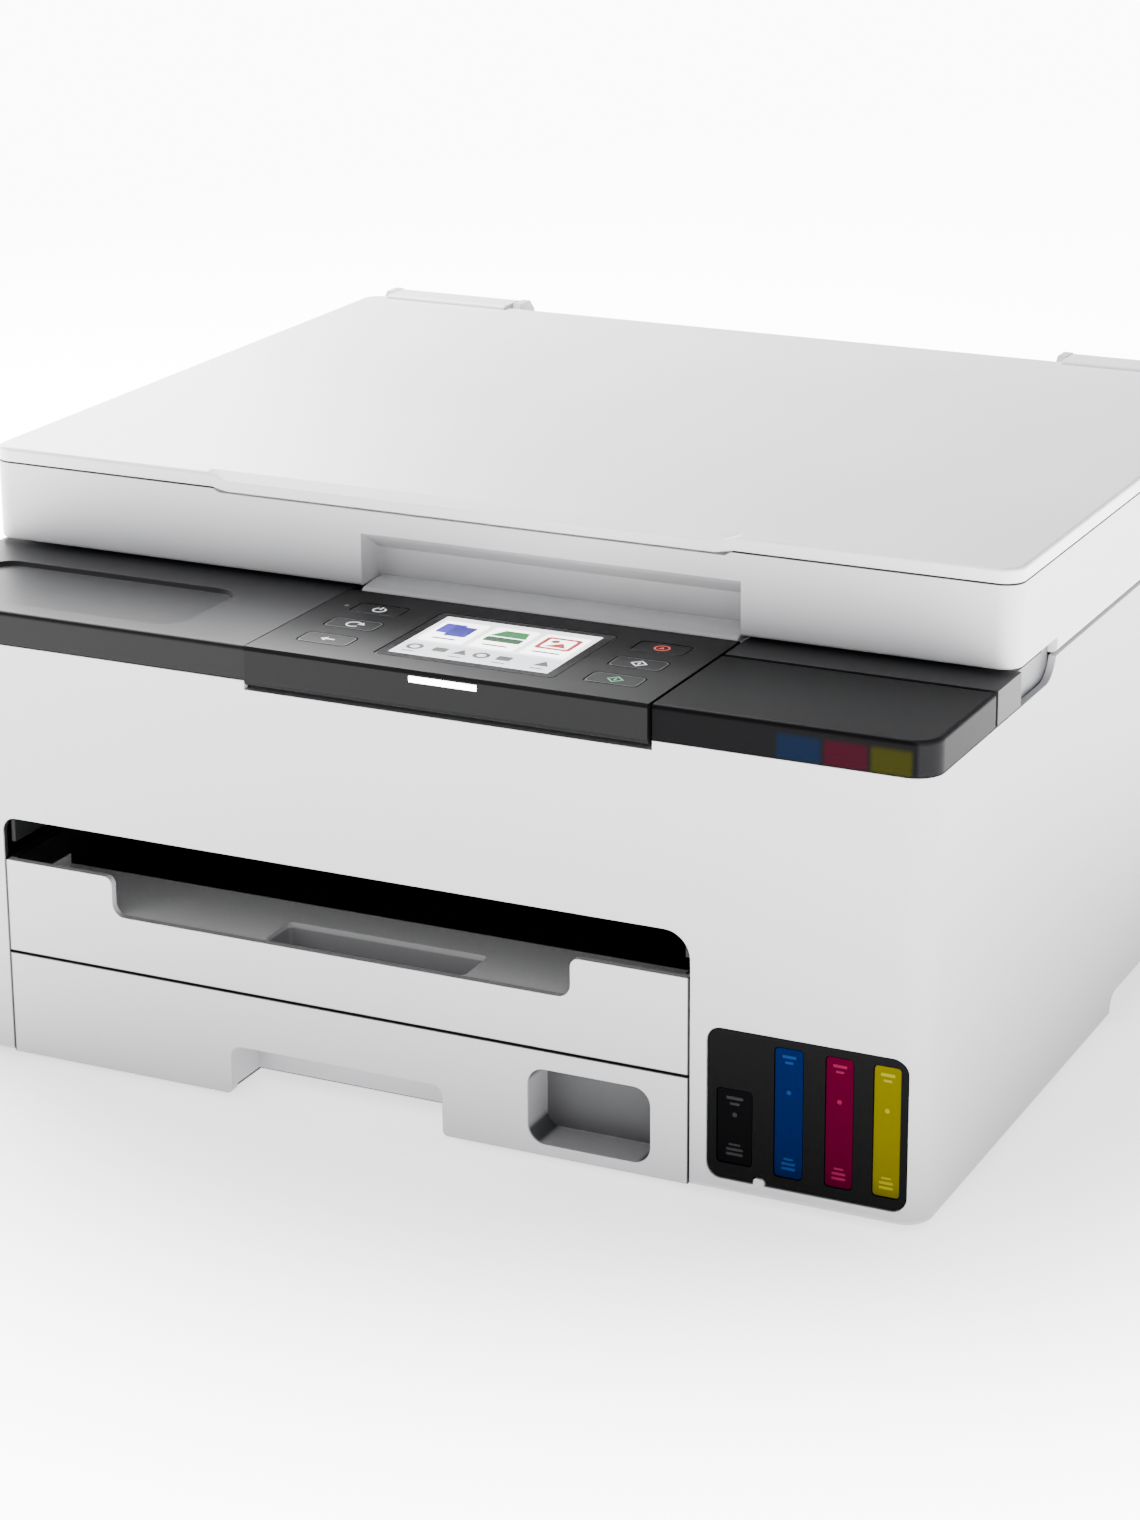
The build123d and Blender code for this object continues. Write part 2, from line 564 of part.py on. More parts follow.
# ------------------------------------------------------------------ ink tanks behind a smoked window plate
CB1, CB2 = 118.3, 130.4
CC1, CC2 = 137.4, 147.2
CM1, CM2 = 154.2, 163.6
CY1, CY2 = 169.8, 179.0
ZC1, ZC2 = 11.6, 55.0
with BuildPart() as tank_window:
    with BuildSketch(Plane.XZ.offset(187.5)):
        with Locations(((XW1 + XW2) / 2, (ZW1 + ZW2) / 2)):
            RectangleRounded(XW2 - XW1 - 0.6, ZW2 - ZW1 - 0.6, 4.7)
        with Locations((132.8, ZW1 + 0.6)):
            RectangleRounded(4.4, 4.0, 1.6, mode=Mode.SUBTRACT)
        with Locations(((CB1 + CB2) / 2, 25.5)):
            RectangleRounded(CB2 - CB1, 25.2, 1.5, mode=Mode.SUBTRACT)
        with Locations(((CC1 + CC2) / 2, (ZC1 + ZC2) / 2)):
            RectangleRounded(CC2 - CC1, ZC2 - ZC1, 1.5, mode=Mode.SUBTRACT)
        with Locations(((CM1 + CM2) / 2, (ZC1 + ZC2) / 2)):
            RectangleRounded(CM2 - CM1, ZC2 - ZC1, 1.5, mode=Mode.SUBTRACT)
        with Locations(((CY1 + CY2) / 2, (ZC1 + ZC2) / 2)):
            RectangleRounded(CY2 - CY1, ZC2 - ZC1, 1.5, mode=Mode.SUBTRACT)
    extrude(amount=-1.8)
tank_window.part.label = "tank_window"
export_step(tank_window.part, "parts/tank_window.step")

with BuildPart() as tank_black:
    with BuildSketch(Plane.XY.offset(7.0)):
        with Locations((123.4, -130)):
            Rectangle(21.0, 109.8)
    extrude(amount=111.4)
    with BuildSketch(Plane.XZ.offset(184.0)):
        with Locations(((CB1 + CB2) / 2, 25.5)):
            RectangleRounded(CB2 - CB1 - 0.6, 24.6, 1.2)
    extrude(amount=3.2)
    with BuildSketch(Plane.XY.offset(118.0)):
        with Locations((123.4, -157)):
            Circle(6.4)
    extrude(amount=6.0)
    with BuildSketch(Plane.XY.offset(8.6)):
        with Locations((123.4, -130)):
            Rectangle(17.8, 106.6)
    extrude(amount=108.0, mode=Mode.SUBTRACT)
    with BuildSketch(Plane.XZ.offset(183.0)):
        with Locations(((CB1 + CB2) / 2, 25.5)):
            Rectangle(CB2 - CB1 - 3.2, 22.0)
    extrude(amount=3.2, mode=Mode.SUBTRACT)
    with BuildSketch(Plane.XY.offset(110.0)):
        with Locations((123.4, -157)):
            Circle(4.6)
    extrude(amount=20.0, mode=Mode.SUBTRACT)
tank_black.part.label = "tank_black"
export_step(tank_black.part, "parts/tank_black.step")

with BuildPart() as tank_cyan:
    with BuildSketch(Plane.XY.offset(7.0)):
        with Locations((142.3, -130)):
            Rectangle(15.4, 109.8)
    extrude(amount=111.4)
    with BuildSketch(Plane.XZ.offset(184.0)):
        with Locations(((CC1 + CC2) / 2, (ZC1 + ZC2) / 2)):
            RectangleRounded(CC2 - CC1 - 0.6, ZC2 - ZC1 - 0.6, 1.2)
    extrude(amount=3.2)
    with BuildSketch(Plane.XY.offset(118.0)):
        with Locations((142.3, -157)):
            Circle(6.4)
    extrude(amount=6.0)
    with BuildSketch(Plane.XY.offset(8.6)):
        with Locations((142.3, -130)):
            Rectangle(12.2, 106.6)
    extrude(amount=108.0, mode=Mode.SUBTRACT)
    with BuildSketch(Plane.XZ.offset(183.0)):
        with Locations(((CC1 + CC2) / 2, (ZC1 + ZC2) / 2)):
            Rectangle(CC2 - CC1 - 3.2, ZC2 - ZC1 - 3.2)
    extrude(amount=3.2, mode=Mode.SUBTRACT)
    with BuildSketch(Plane.XY.offset(110.0)):
        with Locations((142.3, -157)):
            Circle(4.6)
    extrude(amount=20.0, mode=Mode.SUBTRACT)
tank_cyan.part.label = "tank_cyan"
export_step(tank_cyan.part, "parts/tank_cyan.step")

with BuildPart() as tank_magenta:
    with BuildSketch(Plane.XY.offset(7.0)):
        with Locations((158.3, -130)):
            Rectangle(15.4, 109.8)
    extrude(amount=111.4)
    with BuildSketch(Plane.XZ.offset(184.0)):
        with Locations(((CM1 + CM2) / 2, (ZC1 + ZC2) / 2)):
            RectangleRounded(CM2 - CM1 - 0.6, ZC2 - ZC1 - 0.6, 1.2)
    extrude(amount=3.2)
    with BuildSketch(Plane.XY.offset(118.0)):
        with Locations((158.3, -157)):
            Circle(6.4)
    extrude(amount=6.0)
    with BuildSketch(Plane.XY.offset(8.6)):
        with Locations((158.3, -130)):
            Rectangle(12.2, 106.6)
    extrude(amount=108.0, mode=Mode.SUBTRACT)
    with BuildSketch(Plane.XZ.offset(183.0)):
        with Locations(((CM1 + CM2) / 2, (ZC1 + ZC2) / 2)):
            Rectangle(CM2 - CM1 - 3.2, ZC2 - ZC1 - 3.2)
    extrude(amount=3.2, mode=Mode.SUBTRACT)
    with BuildSketch(Plane.XY.offset(110.0)):
        with Locations((158.3, -157)):
            Circle(4.6)
    extrude(amount=20.0, mode=Mode.SUBTRACT)
tank_magenta.part.label = "tank_magenta"
export_step(tank_magenta.part, "parts/tank_magenta.step")

with BuildPart() as tank_yellow:
    with BuildSketch(Plane.XY.offset(7.0)):
        with Locations((175.0, -130)):
            Rectangle(16.8, 97.8)
    extrude(amount=111.4)
    with BuildSketch(Plane.XY.offset(7.0)):
        with Locations((173.6, -181.8)):
            Rectangle(14.0, 6.2)
    extrude(amount=111.4)
    with BuildSketch(Plane.XZ.offset(184.0)):
        with Locations(((CY1 + CY2) / 2, (ZC1 + ZC2) / 2)):
            RectangleRounded(CY2 - CY1 - 0.6, ZC2 - ZC1 - 0.6, 1.2)
    extrude(amount=3.2)
    with BuildSketch(Plane.XY.offset(118.0)):
        with Locations((175.0, -157)):
            Circle(6.4)
    extrude(amount=6.0)
    with BuildSketch(Plane.XY.offset(8.6)):
        with Locations((175.0, -130)):
            Rectangle(13.6, 94.6)
        with Locations((173.6, -179)):
            Rectangle(10.8, 8.6)
    extrude(amount=108.0, mode=Mode.SUBTRACT)
    with BuildSketch(Plane.XZ.offset(183.0)):
        with Locations(((CY1 + CY2) / 2, (ZC1 + ZC2) / 2)):
            Rectangle(CY2 - CY1 - 3.2, ZC2 - ZC1 - 3.2)
    extrude(amount=3.2, mode=Mode.SUBTRACT)
    with BuildSketch(Plane.XY.offset(110.0)):
        with Locations((175.0, -157)):
            Circle(4.6)
    extrude(amount=20.0, mode=Mode.SUBTRACT)
tank_yellow.part.label = "tank_yellow"
export_step(tank_yellow.part, "parts/tank_yellow.step")

# tank caps: lever with a tapered plug, pivoting between the cheeks
HCY, HCZ = -140.0, 126.0
with BuildPart() as cap_black:
    with BuildSketch(Plane.XY.offset(124.6)):
        with Locations((123.4, -154)):
            RectangleRounded(12.6, 26.0, 3)
    extrude(amount=3.2)
    with BuildSketch(Plane.XY.offset(125.0)):
        with Locations((123.4, -157)):
            Circle(4.2)
    extrude(amount=-4.4, taper=12)
    with BuildSketch(Plane.YZ.offset(117.1)):
        with Locations((HCY, HCZ)):
            Circle(2.4)
    extrude(amount=12.6)
    with BuildSketch(Plane.YZ.offset(115.9)):
        with Locations((HCY, HCZ)):
            Circle(1.5)
    extrude(amount=15.0)
cap_black.part.label = "cap_black"
export_step(cap_black.part, "parts/cap_black.step")

with BuildPart() as cap_cyan:
    with BuildSketch(Plane.XY.offset(124.6)):
        with Locations((142.3, -154)):
            RectangleRounded(10.4, 26.0, 3)
    extrude(amount=3.2)
    with BuildSketch(Plane.XY.offset(125.0)):
        with Locations((142.3, -157)):
            Circle(4.2)
    extrude(amount=-4.4, taper=12)
    with BuildSketch(Plane.YZ.offset(137.1)):
        with Locations((HCY, HCZ)):
            Circle(2.4)
    extrude(amount=10.4)
    with BuildSketch(Plane.YZ.offset(135.9)):
        with Locations((HCY, HCZ)):
            Circle(1.5)
    extrude(amount=12.8)
cap_cyan.part.label = "cap_cyan"
export_step(cap_cyan.part, "parts/cap_cyan.step")

with BuildPart() as cap_magenta:
    with BuildSketch(Plane.XY.offset(124.6)):
        with Locations((158.3, -154)):
            RectangleRounded(10.4, 26.0, 3)
    extrude(amount=3.2)
    with BuildSketch(Plane.XY.offset(125.0)):
        with Locations((158.3, -157)):
            Circle(4.2)
    extrude(amount=-4.4, taper=12)
    with BuildSketch(Plane.YZ.offset(153.1)):
        with Locations((HCY, HCZ)):
            Circle(2.4)
    extrude(amount=10.4)
    with BuildSketch(Plane.YZ.offset(151.9)):
        with Locations((HCY, HCZ)):
            Circle(1.5)
    extrude(amount=12.8)
cap_magenta.part.label = "cap_magenta"
export_step(cap_magenta.part, "parts/cap_magenta.step")

with BuildPart() as cap_yellow:
    with BuildSketch(Plane.XY.offset(124.6)):
        with Locations((175.0, -154)):
            RectangleRounded(10.4, 26.0, 3)
    extrude(amount=3.2)
    with BuildSketch(Plane.XY.offset(125.0)):
        with Locations((175.0, -157)):
            Circle(4.2)
    extrude(amount=-4.4, taper=12)
    with BuildSketch(Plane.YZ.offset(169.8)):
        with Locations((HCY, HCZ)):
            Circle(2.4)
    extrude(amount=10.4)
    with BuildSketch(Plane.YZ.offset(168.6)):
        with Locations((HCY, HCZ)):
            Circle(1.5)
    extrude(amount=12.8)
cap_yellow.part.label = "cap_yellow"
export_step(cap_yellow.part, "parts/cap_yellow.step")

# ------------------------------------------------------------------ output tray
with BuildPart() as output_tray:
    with BuildSketch(Plane.XY.offset(40.1)):
        with Locations((PX, -104)):
            Rectangle(248.8, 168)
    extrude(amount=Z_TRAY - 40.1)
    # clearance over the rails on both sides, behind the front wall
    with BuildSketch(Plane.XY.offset(38)):
        with Locations((-140.4, -101), (109.4, -101)):
            Rectangle(2.6, 168)
    extrude(amount=9, mode=Mode.SUBTRACT)
    # paper surface, falling gently towards the front
    with BuildSketch(Plane.YZ.offset(-137.4)):
        with BuildLine():
            Polyline((-185.4, 58.6), (-19, 63.0), (-19, 90), (-185.4, 90), (-185.4, 58.6))
        make_face()
    extrude(amount=243.8, mode=Mode.SUBTRACT)
    # wide notch in the front wall
    with BuildSketch(Plane.XZ.offset(190)) as s:
        with BuildLine():
            Polyline((-98.7, 80), (-98.7, 58.8), (68.6, 58.8), (68.6, 80), (-98.7, 80))
        make_face()
        fillet(s.vertices().group_by(Axis.Z)[0], radius=4.5)
    extrude(amount=-6, mode=Mode.SUBTRACT)
    # rounded shoulders of the notch
    fillet(output_tray.edges().filter_by(Axis.Y).group_by(Axis.Z)[-1].filter_by_position(Axis.X, -100, 70), radius=3.0)
    # sunk grip in the surface
    with BuildSketch(Plane.XY.offset(64)):
        with Locations((-6.5, -176.6)):
            RectangleRounded(73, 16.6, 2)
    extrude(amount=-16, mode=Mode.SUBTRACT)
    # hollow underside
    with BuildSketch(Plane.XY.offset(39)):
        with Locations((PX, -92)):
            Rectangle(238, 140)
    extrude(amount=16.5, mode=Mode.SUBTRACT)
output_tray.part.label = "output_tray"
export_step(output_tray.part, "parts/output_tray.step")

# ------------------------------------------------------------------ cassette
with BuildPart() as cassette:
    with BuildSketch(Plane.XY.offset(5.8)):
        with Locations((PX, -25)):
            Rectangle(248.8, 324)
    extrude(amount=31.0)
    with BuildSketch(Plane.XY.offset(7.8)):
        with Locations((PX, -24.5)):
            Rectangle(244.8, 319)
    extrude(amount=40, mode=Mode.SUBTRACT)
    # front panel
    with BuildSketch(Plane.XZ.offset(-YF)):
        with Locations((PX, (3.3 + 39.3) / 2)):
            Rectangle(248.8, 36.0)
    extrude(amount=-3.4)
    # pockets behind the grip and the paper gauge
    with BuildSketch(Plane.XZ.offset(186)):
        with Locations((-16.1, 14.0)):
            Rectangle(82.2, 16.6)
        with Locations((74.75, 20.4)):
            Rectangle(47.0, 29.2)
    extrude(amount=-18)
    with BuildSketch(Plane.XZ.offset(190)) as s:
        with BuildLine():
            Polyline((-55.1, 0), (-55.1, 20.5), (22.9, 20.5), (22.9, 0), (-55.1, 0))
        make_face()
        fillet(s.vertices().group_by(Axis.Z)[-1], radius=3.5)
    extrude(amount=-20, mode=Mode.SUBTRACT)
    with BuildSketch(Plane.XZ.offset(190)):
        with Locations((74.75, 20.1)):
            RectangleRounded(42.7, 25.8, 6)
    extrude(amount=-16, mode=Mode.SUBTRACT)
    # rounded shoulders where the notch meets the bottom edge
    fillet(cassette.edges().filter_by(Axis.Y).group_by(Axis.Z)[0].filter_by_position(Axis.X, -60, 30), radius=2.0)
    # lengthwise slots for the guides
    with BuildSketch(Plane.XY.offset(4)):
        with Locations((PX - 82, 0), (PX + 82, 0)):
            SlotOverall(62, 4.0)
        with Locations((PX - 25, -118)):
            SlotOverall(90, 4.0, rotation=90)
    extrude(amount=6, mode=Mode.SUBTRACT)
cassette.part.label = "cassette"
export_step(cassette.part, "parts/cassette.step")

with BuildPart() as guide_left:
    with BuildSketch(Plane.XY.offset(8.0)):
        with Locations((PX - 120.0 + 8, 0)):
            Rectangle(20, 60)
    extrude(amount=1.4)
    with BuildSketch(Plane.XY.offset(8.0)):
        with Locations((PX - 109.4, 0)):
            Rectangle(2.0, 110)
    extrude(amount=24)
    with BuildSketch(Plane.XY.offset(6.2)):
        with Locations((PX - 109.4, 0)):
            Rectangle(4.0, 3.2)
    extrude(amount=2.4)
guide_left.part.label = "guide_left"
export_step(guide_left.part, "parts/guide_left.step")

with BuildPart() as guide_right:
    with BuildSketch(Plane.XY.offset(8.0)):
        with Locations((PX + 120.0 - 8, 0)):
            Rectangle(20, 60)
    extrude(amount=1.4)
    with BuildSketch(Plane.XY.offset(8.0)):
        with Locations((PX + 109.4, 0)):
            Rectangle(2.0, 110)
    extrude(amount=24)
    with BuildSketch(Plane.XY.offset(6.2)):
        with Locations((PX + 109.4, 0)):
            Rectangle(4.0, 3.2)
    extrude(amount=2.4)
guide_right.part.label = "guide_right"
export_step(guide_right.part, "parts/guide_right.step")

with BuildPart() as guide_end:
    with BuildSketch(Plane.XY.offset(8.0)):
        with Locations((PX - 25, -152)):
            Rectangle(40, 20)
    extrude(amount=1.4)
    with BuildSketch(Plane.XY.offset(8.0)):
        with Locations((PX - 25, -162.4)):
            RectangleRounded(44, 2.4, 0.6)
    extrude(amount=22)
    with BuildSketch(Plane.XY.offset(6.2)):
        with Locations((PX - 25, -158)):
            Rectangle(3.2, 6)
    extrude(amount=2.4)
guide_end.part.label = "guide_end"
export_step(guide_end.part, "parts/guide_end.step")

# ------------------------------------------------------------------ upper output guide above the tray
with BuildPart() as output_guide:
    with BuildSketch(Plane.XY.offset(88.6)):
        with Locations((PX, -94.5)):
            Rectangle(247, 181)
    extrude(amount=2.0)
    with BuildSketch(Plane.XY.offset(78)):
        with Locations((-138.4, -94.5), (107.4, -94.5)):
            Rectangle(1.4, 181)
    extrude(amount=11)
    # ribs under the ceiling
    with BuildSketch(Plane.XY.offset(86.2)):
        with Locations((PX, -90)):
            with GridLocations(24, 0, 9, 1):
                Rectangle(1.6, 160)
    extrude(amount=2.6)
output_guide.part.label = "output_guide"
export_step(output_guide.part, "parts/output_guide.step")

# ------------------------------------------------------------------ print engine
BX, BZ, BY = 168.0, 118.0, 93.0     # belt pulleys: x, axis height, belt line
with BuildPart() as chassis_plate:
    with BuildSketch(Plane.XZ.offset(-97.5)):
        with Locations((0, 110)):
            Rectangle(358, 80)
    extrude(amount=1.5)
    # bent rail lip for the carriage and stiffening flange on top
    with BuildSketch(Plane.XY.offset(104)):
        with Locations((0, 90.6)):
            Rectangle(352, 12)
    extrude(amount=1.4)
    with BuildSketch(Plane.XY.offset(148.6)):
        with Locations((0, 103)):
            Rectangle(358, 14)
    extrude(amount=1.4)
    # side plates
    with BuildSketch(Plane.YZ.offset(-179)):
        with Locations((46.8, 90)):
            Rectangle(101, 40)
    extrude(amount=1.5)
    with BuildSketch(Plane.YZ.offset(177.5)):
        with Locations((46.8, 90)):
            Rectangle(101, 40)
    extrude(amount=1.5)
    # pin of the idler pulley, hole for the motor shaft, lightening holes
    with BuildSketch(Plane.XZ.offset(-96.5)):
        with Locations((BX, BZ)):
            Circle(1.6)
    extrude(amount=7)
    with BuildSketch(Plane.XZ.offset(-100)):
        with Locations((-BX, BZ)):
            Circle(4)
        with Locations((-110, 135), (-60, 135), (-10, 135), (40, 135), (90, 135)):
            SlotOverall(30, 8)
    extrude(amount=8, mode=Mode.SUBTRACT)
chassis_plate.part.label = "chassis_plate"
export_step(chassis_plate.part, "parts/chassis_plate.step")

with BuildPart() as encoder_strip:
    with BuildSketch(Plane.XZ.offset(-93.2)):
        with Locations((0, 131)):
            Rectangle(340, 7)
    extrude(amount=0.4)
encoder_strip.part.label = "encoder_strip"
export_step(encoder_strip.part, "parts/encoder_strip.step")

with BuildPart() as carriage_belt:
    with BuildSketch(Plane.XZ.offset(-95)):
        with Locations((0, BZ)):
            SlotCenterToCenter(2 * BX, 14.4)
            SlotCenterToCenter(2 * BX, 12.4, mode=Mode.SUBTRACT)
    extrude(amount=4)
carriage_belt.part.label = "carriage_belt"
export_step(carriage_belt.part, "parts/carriage_belt.step")

with BuildPart() as carriage_motor:
    with BuildSketch(Plane.XZ.offset(-98.0)):
        with Locations((-BX + 2, BZ)):
            Circle(14)
    extrude(amount=-30)
    with BuildSketch(Plane.XZ.offset(-128.0)):
        with Locations((-BX + 2, BZ)):
            Circle(5)
    extrude(amount=-3)
    with BuildSketch(Plane.XZ.offset(-100.0)):
        with Locations((-BX, BZ)):
            Circle(1.5)
    extrude(amount=9.5)
carriage_motor.part.label = "carriage_motor"
export_step(carriage_motor.part, "parts/carriage_motor.step")

with BuildPart() as motor_pulley:
    with BuildSketch(Plane.XZ.offset(-94.8)):
        with Locations((-BX, BZ)):
            Circle(6.0)
            Circle(1.56, mode=Mode.SUBTRACT)
            with PolarLocations(6.0, 20):
                Circle(0.35, mode=Mode.SUBTRACT)
    extrude(amount=3.6)
motor_pulley.part.label = "motor_pulley"
export_step(motor_pulley.part, "parts/motor_pulley.step")

with BuildPart() as idler_pulley:
    with BuildSketch(Plane.XZ.offset(-94.8)):
        with Locations((BX, BZ)):
            Circle(6.0)
            Circle(1.66, mode=Mode.SUBTRACT)
            with PolarLocations(3.9, 5):
                Circle(1.0, mode=Mode.SUBTRACT)
    extrude(amount=3.6)
idler_pulley.part.label = "idler_pulley"
export_step(idler_pulley.part, "parts/idler_pulley.step")

# carriage: open box that hangs on the rail lip
CX = 137.0
with BuildPart() as carriage:
    with BuildSketch(Plane.XY.offset(90)):
        with Locations((CX, 56.5)):
            RectangleRounded(70, 66, 4)
    extrude(amount=48)
    fillet(carriage.faces().sort_by(Axis.Z)[-1].edges(), radius=2.0)
    with BuildSketch(Plane.XY.offset(104)):
        with Locations((CX, 48)):
            RectangleRounded(64, 43, 2)
    extrude(amount=50, mode=Mode.SUBTRACT)
    with BuildSketch(Plane.YZ.offset(90)):
        with Locations((88, 104.7)):
            Rectangle(8, 2.2)
    extrude(amount=90, mode=Mode.SUBTRACT)
    # belt clamp
    with BuildSketch(Plane.XZ.offset(-89)):
        with Locations((CX, 106.9)):
            Rectangle(16, 1.8)
    extrude(amount=-6.5)
    with BuildSketch(Plane.XZ.offset(-89)):
        with Locations((CX, 115.0)):
            Rectangle(16, 3.2)
    extrude(amount=-6.5)
carriage.part.label = "carriage"
export_step(carriage.part, "parts/carriage.step")

with BuildPart() as printhead:
    with BuildSketch(Plane.XY.offset(85.8)):
        with Locations((CX, 48)):
            RectangleRounded(50, 36, 2)
    extrude(amount=4.1)
    with BuildSketch(Plane.XY.offset(85.8)):
        with Locations((CX, 48)):
            with GridLocations(10, 0, 4, 1):
                Rectangle(2.0, 26)
    extrude(amount=0.5, mode=Mode.SUBTRACT)
printhead.part.label = "printhead"
export_step(printhead.part, "parts/printhead.step")

with BuildPart() as platen:
    with BuildSketch(Plane.XY.offset(75.5)):
        with Locations((PX, 39)):
            Rectangle(240, 44)
    extrude(amount=6.0)
    with BuildSketch(Plane.XY.offset(81.0)):
        with Locations((PX, 39)):
            with GridLocations(12, 0, 19, 1):
                Rectangle(1.6, 42)
    extrude(amount=3.0)
platen.part.label = "platen"
export_step(platen.part, "parts/platen.step")

# rollers on steel shafts, each with its gear wheel
with BuildPart() as feed_roller:
    with BuildSketch(Plane.YZ.offset(-160)):
        with Locations((72, 79)):
            Circle(3.0)
    extrude(amount=270)
    with BuildSketch(Plane.YZ.offset(-136)):
        with Locations((72, 79)):
            Circle(5.6)
    extrude(amount=240)
    with BuildSketch(Plane.YZ.offset(-158)) as s:
        with Locations((72, 79)):
            Circle(15.7)
            with PolarLocations(15.7, 32):
                Circle(0.75, mode=Mode.SUBTRACT)
            with PolarLocations(9.0, 5):
                Circle(2.6, mode=Mode.SUBTRACT)
    extrude(amount=8)
feed_roller.part.label = "feed_roller"
export_step(feed_roller.part, "parts/feed_roller.step")

with BuildPart() as eject_roller:
    with BuildSketch(Plane.YZ.offset(-160)):
        with Locations((6, 79)):
            Circle(2.5)
    extrude(amount=270)
    with BuildSketch(Plane.YZ.offset(-120)):
        with Locations((6, 79)):
            Circle(4.8)
    extrude(amount=24)
    with BuildSketch(Plane.YZ.offset(-76)):
        with Locations((6, 79)):
            Circle(4.8)
    extrude(amount=24)
    with BuildSketch(Plane.YZ.offset(-28)):
        with Locations((6, 79)):
            Circle(4.8)
    extrude(amount=24)
    with BuildSketch(Plane.YZ.offset(20)):
        with Locations((6, 79)):
            Circle(4.8)
    extrude(amount=24)
    with BuildSketch(Plane.YZ.offset(66)):
        with Locations((6, 79)):
            Circle(4.8)
    extrude(amount=24)
    with BuildSketch(Plane.YZ.offset(-158)):
        with Locations((6, 79)):
            Circle(15.7)
            with PolarLocations(15.7, 32):
                Circle(0.75, mode=Mode.SUBTRACT)
            with PolarLocations(9.0, 5):
                Circle(2.6, mode=Mode.SUBTRACT)
    extrude(amount=8)
eject_roller.part.label = "eject_roller"
export_step(eject_roller.part, "parts/eject_roller.step")

with BuildPart() as transfer_gear:
    with BuildSketch(Plane.YZ.offset(-158)):
        with Locations((39, 79)):
            Circle(16.9)
            Circle(2.06, mode=Mode.SUBTRACT)
            with PolarLocations(16.9, 34):
                Circle(0.75, mode=Mode.SUBTRACT)
            with PolarLocations(9.5, 5):
                Circle(2.8, mode=Mode.SUBTRACT)
    extrude(amount=8)
transfer_gear.part.label = "transfer_gear"
export_step(transfer_gear.part, "parts/transfer_gear.step")

with BuildPart() as feed_motor:
    with BuildSketch(Plane.YZ.offset(-177)):
        with Locations((39, 104)):
            Circle(13)
    extrude(amount=16)
    # pinion on the motor shaft
    with BuildSketch(Plane.YZ.offset(-161)):
        with Locations((39, 104)):
            Circle(1.5)
    extrude(amount=12)
    with BuildSketch(Plane.YZ.offset(-158)):
        with Locations((39, 104)):
            Circle(7.4)
            with PolarLocations(7.4, 15):
                Circle(0.75, mode=Mode.SUBTRACT)
    extrude(amount=8)
    # mounting plate with the stub axle of the transfer gear
    with BuildSketch(Plane.YZ.offset(-161)):
        with Locations((39, 92)):
            RectangleRounded(30, 44, 4)
    extrude(amount=1.2)
    with BuildSketch(Plane.YZ.offset(-161)):
        with Locations((39, 79)):
            Circle(2.0)
    extrude(amount=12)
feed_motor.part.label = "feed_motor"
export_step(feed_motor.part, "parts/feed_motor.step")

# pickup arm with its roller, above the rear of the cassette
PAY, PAZ = 38.0, 60.0
PRY, PRZ = 84.0, 53.0
with BuildPart() as pickup_arm:
    with BuildSketch(Plane.YZ.offset(-27.5)):
        with BuildLine():
            Polyline((PAY - 5, PAZ - 4), (PAY - 5, PAZ + 5), (PAY + 4, PAZ + 6), (PRY + 4, PRZ + 5), (PRY + 5, PRZ - 4), (PRY - 4, PRZ - 5), (PAY - 5, PAZ - 4))
        make_face()
    extrude(amount=3)
    with BuildSketch(Plane.YZ.offset(-6.5)):
        with BuildLine():
            Polyline((PAY - 5, PAZ - 4), (PAY - 5, PAZ + 5), (PAY + 4, PAZ + 6), (PRY + 4, PRZ + 5), (PRY + 5, PRZ - 4), (PRY - 4, PRZ - 5), (PAY - 5, PAZ - 4))
        make_face()
    extrude(amount=3)
    with BuildSketch(Plane.YZ.offset(-60)):
        with Locations((PAY, PAZ)):
            Circle(3.0)
    extrude(amount=89)
    with BuildSketch(Plane.YZ.offset(-26)):
        with Locations((PAY + 16, PAZ - 2)):
            Rectangle(10, 5)
    extrude(amount=22)
    with BuildSketch(Plane.YZ.offset(-27.5)):
        with Locations((PRY, PRZ)):
            Circle(2.0)
    extrude(amount=24)
pickup_arm.part.label = "pickup_arm"
export_step(pickup_arm.part, "parts/pickup_arm.step")

with BuildPart() as pickup_roller:
    with BuildSketch(Plane.YZ.offset(-24.1)):
        with Locations((PRY, PRZ)):
            Circle(10.0)
            Circle(2.06, mode=Mode.SUBTRACT)
            with PolarLocations(10.0, 36):
                Circle(0.3, mode=Mode.SUBTRACT)
    extrude(amount=17.2)
pickup_roller.part.label = "pickup_roller"
export_step(pickup_roller.part, "parts/pickup_roller.step")

# ------------------------------------------------------------------ maintenance station and cartridge
with BuildPart() as purge_unit:
    with BuildSketch(Plane.XY.offset(44)):
        with Locations((144.5, 46)):
            RectangleRounded(62, 66, 3)
    extrude(amount=30)
    with BuildSketch(Plane.XY.offset(48)):
        with Locations((144, 46)):
            Rectangle(58, 60)
    extrude(amount=30, mode=Mode.SUBTRACT)
    with BuildSketch(Plane.XY.offset(47)):
        with Locations((CX, 48)):
            RectangleRounded(40, 34, 3)
    extrude(amount=37.6)
    with BuildSketch(Plane.XY.offset(81.5)):
        with Locations((CX, 48)):
            RectangleRounded(34, 28, 2)
    extrude(amount=10, mode=Mode.SUBTRACT)
    # rubber wiper blade beside the cap
    with BuildSketch(Plane.XY.offset(47)):
        with Locations((167, 48)):
            Rectangle(3, 26)
    extrude(amount=37)
purge_unit.part.label = "purge_unit"
export_step(purge_unit.part, "parts/purge_unit.step")

